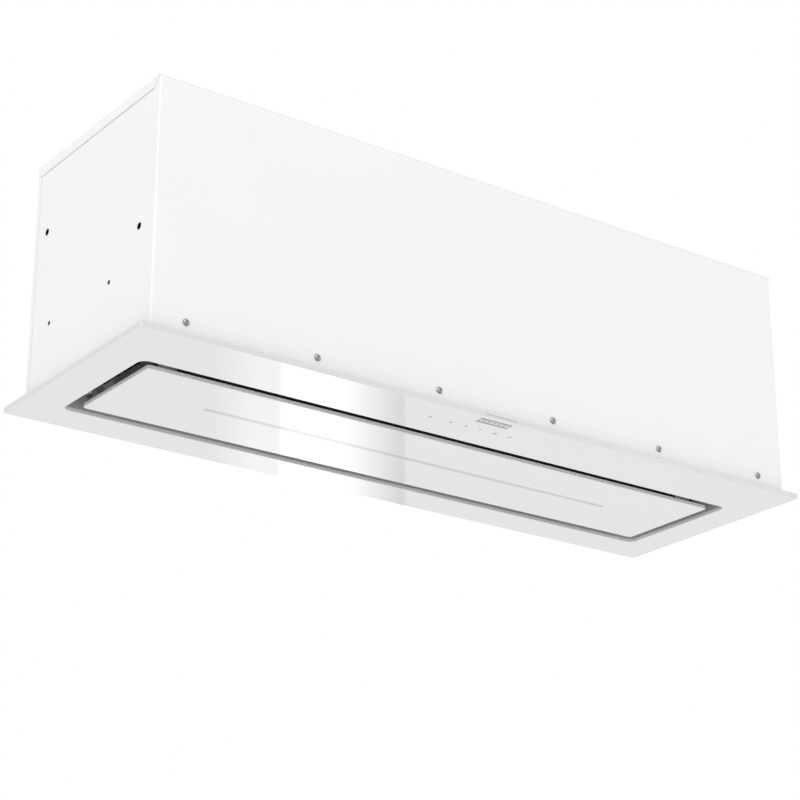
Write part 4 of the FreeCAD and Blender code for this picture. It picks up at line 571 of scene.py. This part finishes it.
def lathe(mesh, profile, segments, to_model):
    """Turn (radius, height) points about local Z; a radius of 0 closes the end."""
    rings = []
    for radius, height in profile:
        if radius == 0:
            rings.append([mesh.verts.new(to_model @ Vector((0, 0, height)))])
            continue
        rings.append([mesh.verts.new(to_model @ Vector((
            radius * math.cos(2 * math.pi * i / segments),
            radius * math.sin(2 * math.pi * i / segments), height))) for i in range(segments)])
    for low, high in zip(rings, rings[1:]):
        for i in range(segments):
            j = (i + 1) % segments
            if len(low) == 1:
                mesh.faces.new((low[0], high[i], high[j]))
            elif len(high) == 1:
                mesh.faces.new((low[i], high[0], low[j]))
            else:
                mesh.faces.new((low[i], high[i], high[j], low[j]))


def prism(mesh, outline, low, high):
    """A straight prism over an (x, y) outline."""
    bottom = [mesh.verts.new((x, y, low)) for x, y in outline]
    top = [mesh.verts.new((x, y, high)) for x, y in outline]
    mesh.faces.new(bottom[::-1])
    mesh.faces.new(top)
    for i in range(len(outline)):
        j = (i + 1) % len(outline)
        mesh.faces.new((bottom[i], bottom[j], top[j], top[i]))


def facing(point, direction):
    """A placement at a point, with local Z along a direction."""
    turn = Vector(direction).to_track_quat("Z", "Y").to_matrix()
    return Matrix.Translation(point) @ turn.to_4x4()


# --- small fasteners ------------------------------------------------------------

SCREW_HEAD = 3.8 * MM
SCREW_RISE = 2.4 * MM
SCREW_SHANK = 1.95 * MM
SCREW_LENGTH = 9.0 * MM
SCREW_POINT = 0.6 * MM
# How far the head falls away at its rim, as a share of its rise.
HEAD_FALL = 0.62
# The plain packed heads have eight sides, and lie with a corner to each side.
PACKED_HEAD_SIDES = 8
FIRST_SPIN, SPIN_STEP = 17, 38
RECESS_REACH = 2.0 * MM
RECESS_HALF = 0.42 * MM
RECESS_DEPTH = 1.2 * MM
# Points nearer than this are one point.
WELD = 1e-6


def recess(x, y):
    """Depth of the cross recess at a point of the head."""
    ax, ay = abs(x), abs(y)
    if min(ax, ay) > RECESS_HALF or max(ax, ay) > RECESS_REACH:
        return 0.0
    return RECESS_DEPTH * (1 - 0.6 * max(ax, ay) / RECESS_REACH)


def pan_screw(mesh, to_model):
    """A pan-head screw with a cross recess; local Z points out of the head."""
    segments, rows = 48, 16
    top = mesh.verts.new(to_model @ Vector((0, 0, SCREW_RISE - recess(0, 0))))
    inner = [top]
    for row in range(1, rows + 1):
        part = row / rows
        radius = SCREW_HEAD * part
        height = SCREW_RISE * (1 - HEAD_FALL * part ** 4)
        outer = []
        for i in range(segments):
            turn = 2 * math.pi * i / segments
            x, y = radius * math.cos(turn), radius * math.sin(turn)
            outer.append(mesh.verts.new(to_model @ Vector((x, y, height - recess(x, y)))))
        for i in range(segments):
            j = (i + 1) % segments
            if len(inner) == 1:
                mesh.faces.new((inner[0], outer[i], outer[j]))
            else:
                mesh.faces.new((inner[i], outer[i], outer[j], inner[j]))
        inner = outer
    rim = [(SCREW_HEAD, SCREW_RISE * (1 - HEAD_FALL)), (SCREW_HEAD, 0), (SCREW_SHANK, 0),
           (SCREW_SHANK, SCREW_POINT - SCREW_LENGTH), (0, -SCREW_LENGTH)]
    lathe(mesh, rim, segments, to_model)
    bmesh.ops.remove_doubles(mesh, verts=mesh.verts, dist=WELD)


def screw_row(node, count, outward):
    """The detailed screws that stand for one packed row."""
    low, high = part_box(node)
    mesh = bmesh.new()
    seat = low.y + SCREW_RISE if outward < 0 else high.y - SCREW_RISE
    z = (low.z + high.z) / 2
    head_half = SCREW_HEAD * math.cos(math.pi / PACKED_HEAD_SIDES)
    first, last = low.x + head_half, high.x - head_half
    for i in range(count):
        x = first + (last - first) * i / (count - 1)
        spin = Matrix.Rotation(math.radians(FIRST_SPIN + SPIN_STEP * i), 4, "Z")
        pan_screw(mesh, facing((x, seat, z), (0, outward, 0)) @ spin)
    piece = solid(f"pan_{node}", mesh, "screw_steel", "casing")
    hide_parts(node)


RIVET_FRONT_INSET = 24.5 * MM
RIVET_REAR_INSET = 10.7 * MM
RIVET_DROP = 5.2 * MM
RIVET_SEGMENTS = 24
# A pop rivet's head from its hollow middle out, as (radius, height) in millimetres.
RIVET_PROFILE = ((0, 0.55), (0.75, 0.55), (0.85, 0.3), (0.95, 0.75), (1.5, 0.68), (2.15, 0.42),
                 (2.6, 0.0))


def pop_rivets():
    """Pop rivets through the top panel's end lips."""
    low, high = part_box("casing_top_panel")
    profile = [(radius * MM, height * MM) for radius, height in RIVET_PROFILE]
    mesh = bmesh.new()
    for side, edge in ((-1, low.x), (1, high.x)):
        for y in (low.y + RIVET_FRONT_INSET, high.y - RIVET_REAR_INSET):
            spot = facing((edge, y, high.z - RIVET_DROP), (side, 0, 0))
            lathe(mesh, profile, RIVET_SEGMENTS, spot)
    solid("end_rivets", mesh, "white_steel", "casing")


COLLAR_FLANGE = 1.5 * MM
COLLAR_INSET = 9 * MM
COLLAR_SPIN = 40


def collar_screws():
    """Four screws that hold the collar's flange to the top panel."""
    low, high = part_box("outlet_collar")
    seat = low.z + COLLAR_FLANGE
    mesh = bmesh.new()
    for x in (low.x + COLLAR_INSET, high.x - COLLAR_INSET):
        for y in (low.y + COLLAR_INSET, high.y - COLLAR_INSET):
            spin = Matrix.Rotation(x * COLLAR_SPIN, 4, "Z")
            pan_screw(mesh, Matrix.Translation((x, y, seat)) @ spin)
    solid("collar_flange_screws", mesh, "screw_steel", "casing")


# --- grease filters ---------------------------------------------------------------

STRAND_PITCH = 5.2 * MM
STRAND_WIDTH = 1.3 * MM
LAYER_THICKNESS = 0.9 * MM
LAYER_ANGLES = (28, -28, 62, -62)
CORNER_CUT = 6.0 * MM
FAR = 1e9
NO_SPEED = 1e-9


def clip_line(point, direction, low, high):
    """The part of a line inside a rectangle with its corners cut, or None."""
    start, end = -FAR, FAR
    half = (high - low) / 2
    offset = point - (low + high) / 2
    reach = half.x + half.y - CORNER_CUT
    for x, y, limit in ((1, 0, half.x), (0, 1, half.y), (1, 1, reach), (1, -1, reach)):
        speed = x * direction.x + y * direction.y
        if abs(speed) < NO_SPEED:
            continue
        where = x * offset.x + y * offset.y
        one, two = (-limit - where) / speed, (limit - where) / speed
        start, end = max(start, min(one, two)), min(end, max(one, two))
    return None if end - start < STRAND_WIDTH else (start, end)


def expanded_mesh(hand):
    """Layers of slanted metal strands in place of one filter's plate."""
    node = f"filter_mesh_{hand}"
    low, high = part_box(node)
    centre = (low + high) / 2
    reach = (high - low).length / 2
    mesh = bmesh.new()
    step = (high.z - low.z - LAYER_THICKNESS) / (len(LAYER_ANGLES) - 1)
    for layer, degrees in enumerate(LAYER_ANGLES):
        turn = math.radians(degrees)
        along = Vector((math.cos(turn), math.sin(turn), 0))
        across = Vector((-math.sin(turn), math.cos(turn), 0))
        count = int(reach / STRAND_PITCH)
        base = low.z + layer * step
        for i in range(-count, count + 1):
            point = centre + across * (i * STRAND_PITCH)
            span = clip_line(point, along, low, high)
            if span is None:
                continue
            half = across * STRAND_WIDTH / 2
            ends = [point + along * t for t in span]
            outline = [ends[0] - half, ends[1] - half, ends[1] + half, ends[0] + half]
            outline = [(min(max(p.x, low.x), high.x), min(max(p.y, low.y), high.y))
                       for p in outline]
            prism(mesh, outline, base, base + LAYER_THICKNESS)
    piece = solid(f"woven_{node}", mesh, "filter_aluminium", "casing")
    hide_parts(node)


# --- cable gland --------------------------------------------------------------------

GLAND_BORE = 4 * MM
GLAND_SEGMENTS = 40
HEX_REACH = 12 * MM
HEX_TOP = 4 * MM
THREAD_RADIUS = 8 * MM
# The dome nut's collar, then its body, whose upper heights are shares of the whole.
COLLAR_RADIUS = 10.4 * MM
COLLAR_TOP = 6 * MM
BODY_RADIUS = 9.6 * MM
BODY_LOW = 6.4 * MM
BODY_SHARE = 0.62
DOME_STEPS = ((9.0, 0.8), (7.4, 0.95), (5.6, 1.0))
RIB_COUNT = 14
# One rib's section, in millimetres from the gland's axis.
RIB_OUTLINE = ((9.4, -0.5), (10.2, -0.35), (10.2, 0.35), (9.4, 0.5))


def gland():
    """Moulded cable gland: hexagon, ribbed dome nut and thread."""
    low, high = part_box("cable_gland")
    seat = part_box("casing_top_panel")[1].z
    centre = Vector(((low.x + high.x) / 2, (low.y + high.y) / 2, seat))
    spot = Matrix.Translation(centre)
    height = high.z - seat
    depth = low.z - seat
    mesh = bmesh.new()
    corners = [math.radians(30 + 60 * i) for i in range(6)]
    hexagon = [(centre.x + HEX_REACH * math.cos(turn), centre.y + HEX_REACH * math.sin(turn))
               for turn in corners]
    prism(mesh, hexagon, seat, seat + HEX_TOP)
    dome = [(GLAND_BORE, HEX_TOP), (COLLAR_RADIUS, HEX_TOP), (COLLAR_RADIUS, COLLAR_TOP),
            (BODY_RADIUS, BODY_LOW), (BODY_RADIUS, height * BODY_SHARE)]
    dome += [(radius * MM, height * share) for radius, share in DOME_STEPS]
    dome += [(GLAND_BORE, height), (GLAND_BORE, HEX_TOP)]
    lathe(mesh, dome, GLAND_SEGMENTS, spot)
    for i in range(RIB_COUNT):
        turn = Matrix.Rotation(2 * math.pi * i / RIB_COUNT, 4, "Z")
        outline = [(spot @ turn @ Vector((x * MM, y * MM, 0))).to_2d() for x, y in RIB_OUTLINE]
        prism(mesh, outline, seat + BODY_LOW, seat + height * BODY_SHARE)
    thread = [(GLAND_BORE, depth), (THREAD_RADIUS, depth), (THREAD_RADIUS, 0), (GLAND_BORE, 0),
              (GLAND_BORE, depth)]
    lathe(mesh, thread, GLAND_SEGMENTS, spot)
    piece = solid("moulded_gland", mesh, "black_plastic", "casing")
    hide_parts("cable_gland")


# --- stage, lights and camera ---------------------------------------------------------

FLOOR_DROP = 3.0
FLOOR_REACH = 30
REFLECTOR_Y = 2.5
REFLECTOR_X = (1.212, 1.80)
REFLECTOR_Z = (-1.7, -0.25)
# Shares of the softbox's width: where it has faded in, steps up and starts to fall.
FADED_IN, STEP_UP, FALL_FROM = 0.21, 0.3455, 0.648
# Its strength before the step, after it, and at the far edge.
FIRST_LEVEL, FULL_LEVEL, LAST_LEVEL = 1.45, 2.3, 0.05


def stage_plane(name, corners, material):
    """A staged rectangle."""
    data = bpy.data.meshes.new(name)
    data.from_pydata(corners, [], [(0, 1, 2, 3)])
    item = bpy.data.objects.new(name, data)
    bpy.context.scene.collection.objects.link(item)
    data.materials.append(material)
    return item


def floor():
    """A wide pale floor well below the hood."""
    n = Nodes("pale_floor")
    n.feed(n.shader.inputs["Base Color"],
           n.tint(n.between(n.noise(0.6, 2), 0, 1), (0.86, 0.86, 0.86), (0.88, 0.88, 0.88)))
    n.shader.inputs["Roughness"].default_value = 0.8
    far = FLOOR_REACH
    stage_plane("floor", [(-far, -far, -FLOOR_DROP), (far, -far, -FLOOR_DROP),
                          (far, far, -FLOOR_DROP), (-far, far, -FLOOR_DROP)], n.material)


def reflector():
    """A softbox behind and below the hood that only glossy faces show."""
    n = Nodes("softbox")
    x = n.split(n.place())[0]
    part = n.ramp(x, *REFLECTOR_X)
    opacity = n.ramp(part, 0.0, FADED_IN)
    bright = n.ramp(part, FALL_FROM, 1.0, FULL_LEVEL, LAST_LEVEL)
    left = n.math("LESS_THAN", part, STEP_UP)
    level = n.math("MULTIPLY_ADD", left, n.math("SUBTRACT", FIRST_LEVEL, bright), bright)
    glow = n.add("ShaderNodeEmission", {"Color": (1, 1, 1, 1), "Strength": level})
    clear = n.add("ShaderNodeBsdfTransparent")
    mixed = n.add("ShaderNodeMixShader", {0: opacity, 1: clear.outputs[0], 2: glow.outputs[0]})
    out = n.tree.nodes["Material Output"]
    n.feed(out.inputs["Surface"], mixed.outputs[0])
    (x0, x1), (z0, z1), y = REFLECTOR_X, REFLECTOR_Z, REFLECTOR_Y
    item = stage_plane("softbox", [(x0, y, z0), (x1, y, z0), (x1, y, z1), (x0, y, z1)],
                       n.material)
    item.visible_camera = False
    item.visible_diffuse = False
    item.visible_shadow = False
    item.visible_transmission = False


WORLD_LEVEL = 0.86


def world():
    """White behind the object, soft even light round it."""
    scene = bpy.context.scene
    scene.world = bpy.data.worlds.new("studio")
    scene.world.use_nodes = True
    tree = scene.world.node_tree
    sky = tree.nodes["Background"]
    path = tree.nodes.new("ShaderNodeLightPath")
    level = tree.nodes.new("ShaderNodeMath")
    level.operation = "MULTIPLY_ADD"
    level.inputs[1].default_value = 1.0 - WORLD_LEVEL
    level.inputs[2].default_value = WORLD_LEVEL
    tree.links.new(path.outputs["Is Camera Ray"], level.inputs[0])
    tree.links.new(level.outputs[0], sky.inputs["Strength"])
    sky.inputs["Color"].default_value = (1, 1, 1, 1)


# Name, place, diameter and power of each lamp.
LAMPS = (
    ("key", (-2.1, -3.3, 2.0), 2.6, 52),
    ("fill", (-3.6, 0.4, 0.6), 2.0, 15),
    ("side", (1.7, -1.3, 0.6), 1.0, 1.6),
    ("low", (0.3, -0.3, -2.3), 2.0, 9.2),
)


def lamps():
    """Large soft lamps aimed at the middle of the hood."""
    low, high = CAD_BOX
    target = (low + high) / 2
    for name, place, size, power in LAMPS:
        light = bpy.data.lights.new(name, "AREA")
        light.shape = "DISK"
        light.size = size
        light.energy = power
        lamp = bpy.data.objects.new(name, light)
        lamp.location = place
        lamp.rotation_euler = (target - Vector(place)).to_track_quat("-Z", "Y").to_euler()
        bpy.context.scene.collection.objects.link(lamp)
        lamp.visible_camera = False


CAMERA_PLACE = (-1.42475, -1.91994, -0.85722)
CAMERA_AZIMUTH = -35.99
CAMERA_ELEVATION = -21.21
CAMERA_ROLL = -0.05
CAMERA_LENS = 100.82


def camera():
    """The photograph's viewpoint, below the front left corner."""
    data = bpy.data.cameras.new("camera")
    data.lens = CAMERA_LENS
    data.sensor_width = 36
    item = bpy.data.objects.new("camera", data)
    bpy.context.scene.collection.objects.link(item)
    azimuth, elevation = math.radians(CAMERA_AZIMUTH), math.radians(CAMERA_ELEVATION)
    back = Vector((math.sin(azimuth) * math.cos(elevation),
                   -math.cos(azimuth) * math.cos(elevation), math.sin(elevation)))
    right = Vector((0, 0, 1)).cross(back).normalized()
    up = back.cross(right)
    roll = math.radians(CAMERA_ROLL)
    level_right = right * math.cos(roll) + up * math.sin(roll)
    level_up = up * math.cos(roll) - right * math.sin(roll)
    turn = Matrix((level_right, level_up, back)).transposed()
    item.matrix_world = Matrix.Translation(CAMERA_PLACE) @ turn.to_4x4()
    bpy.context.scene.camera = item


dress_frame()
screw_row("frame_screws_front", 6, -1)
screw_row("frame_screws_rear", 3, 1)
pop_rivets()
collar_screws()
for hand in ("left", "right"):
    expanded_mesh(hand)
gland()
floor()
reflector()
world()
lamps()
camera()
bpy.context.scene.view_settings.view_transform = "Standard"
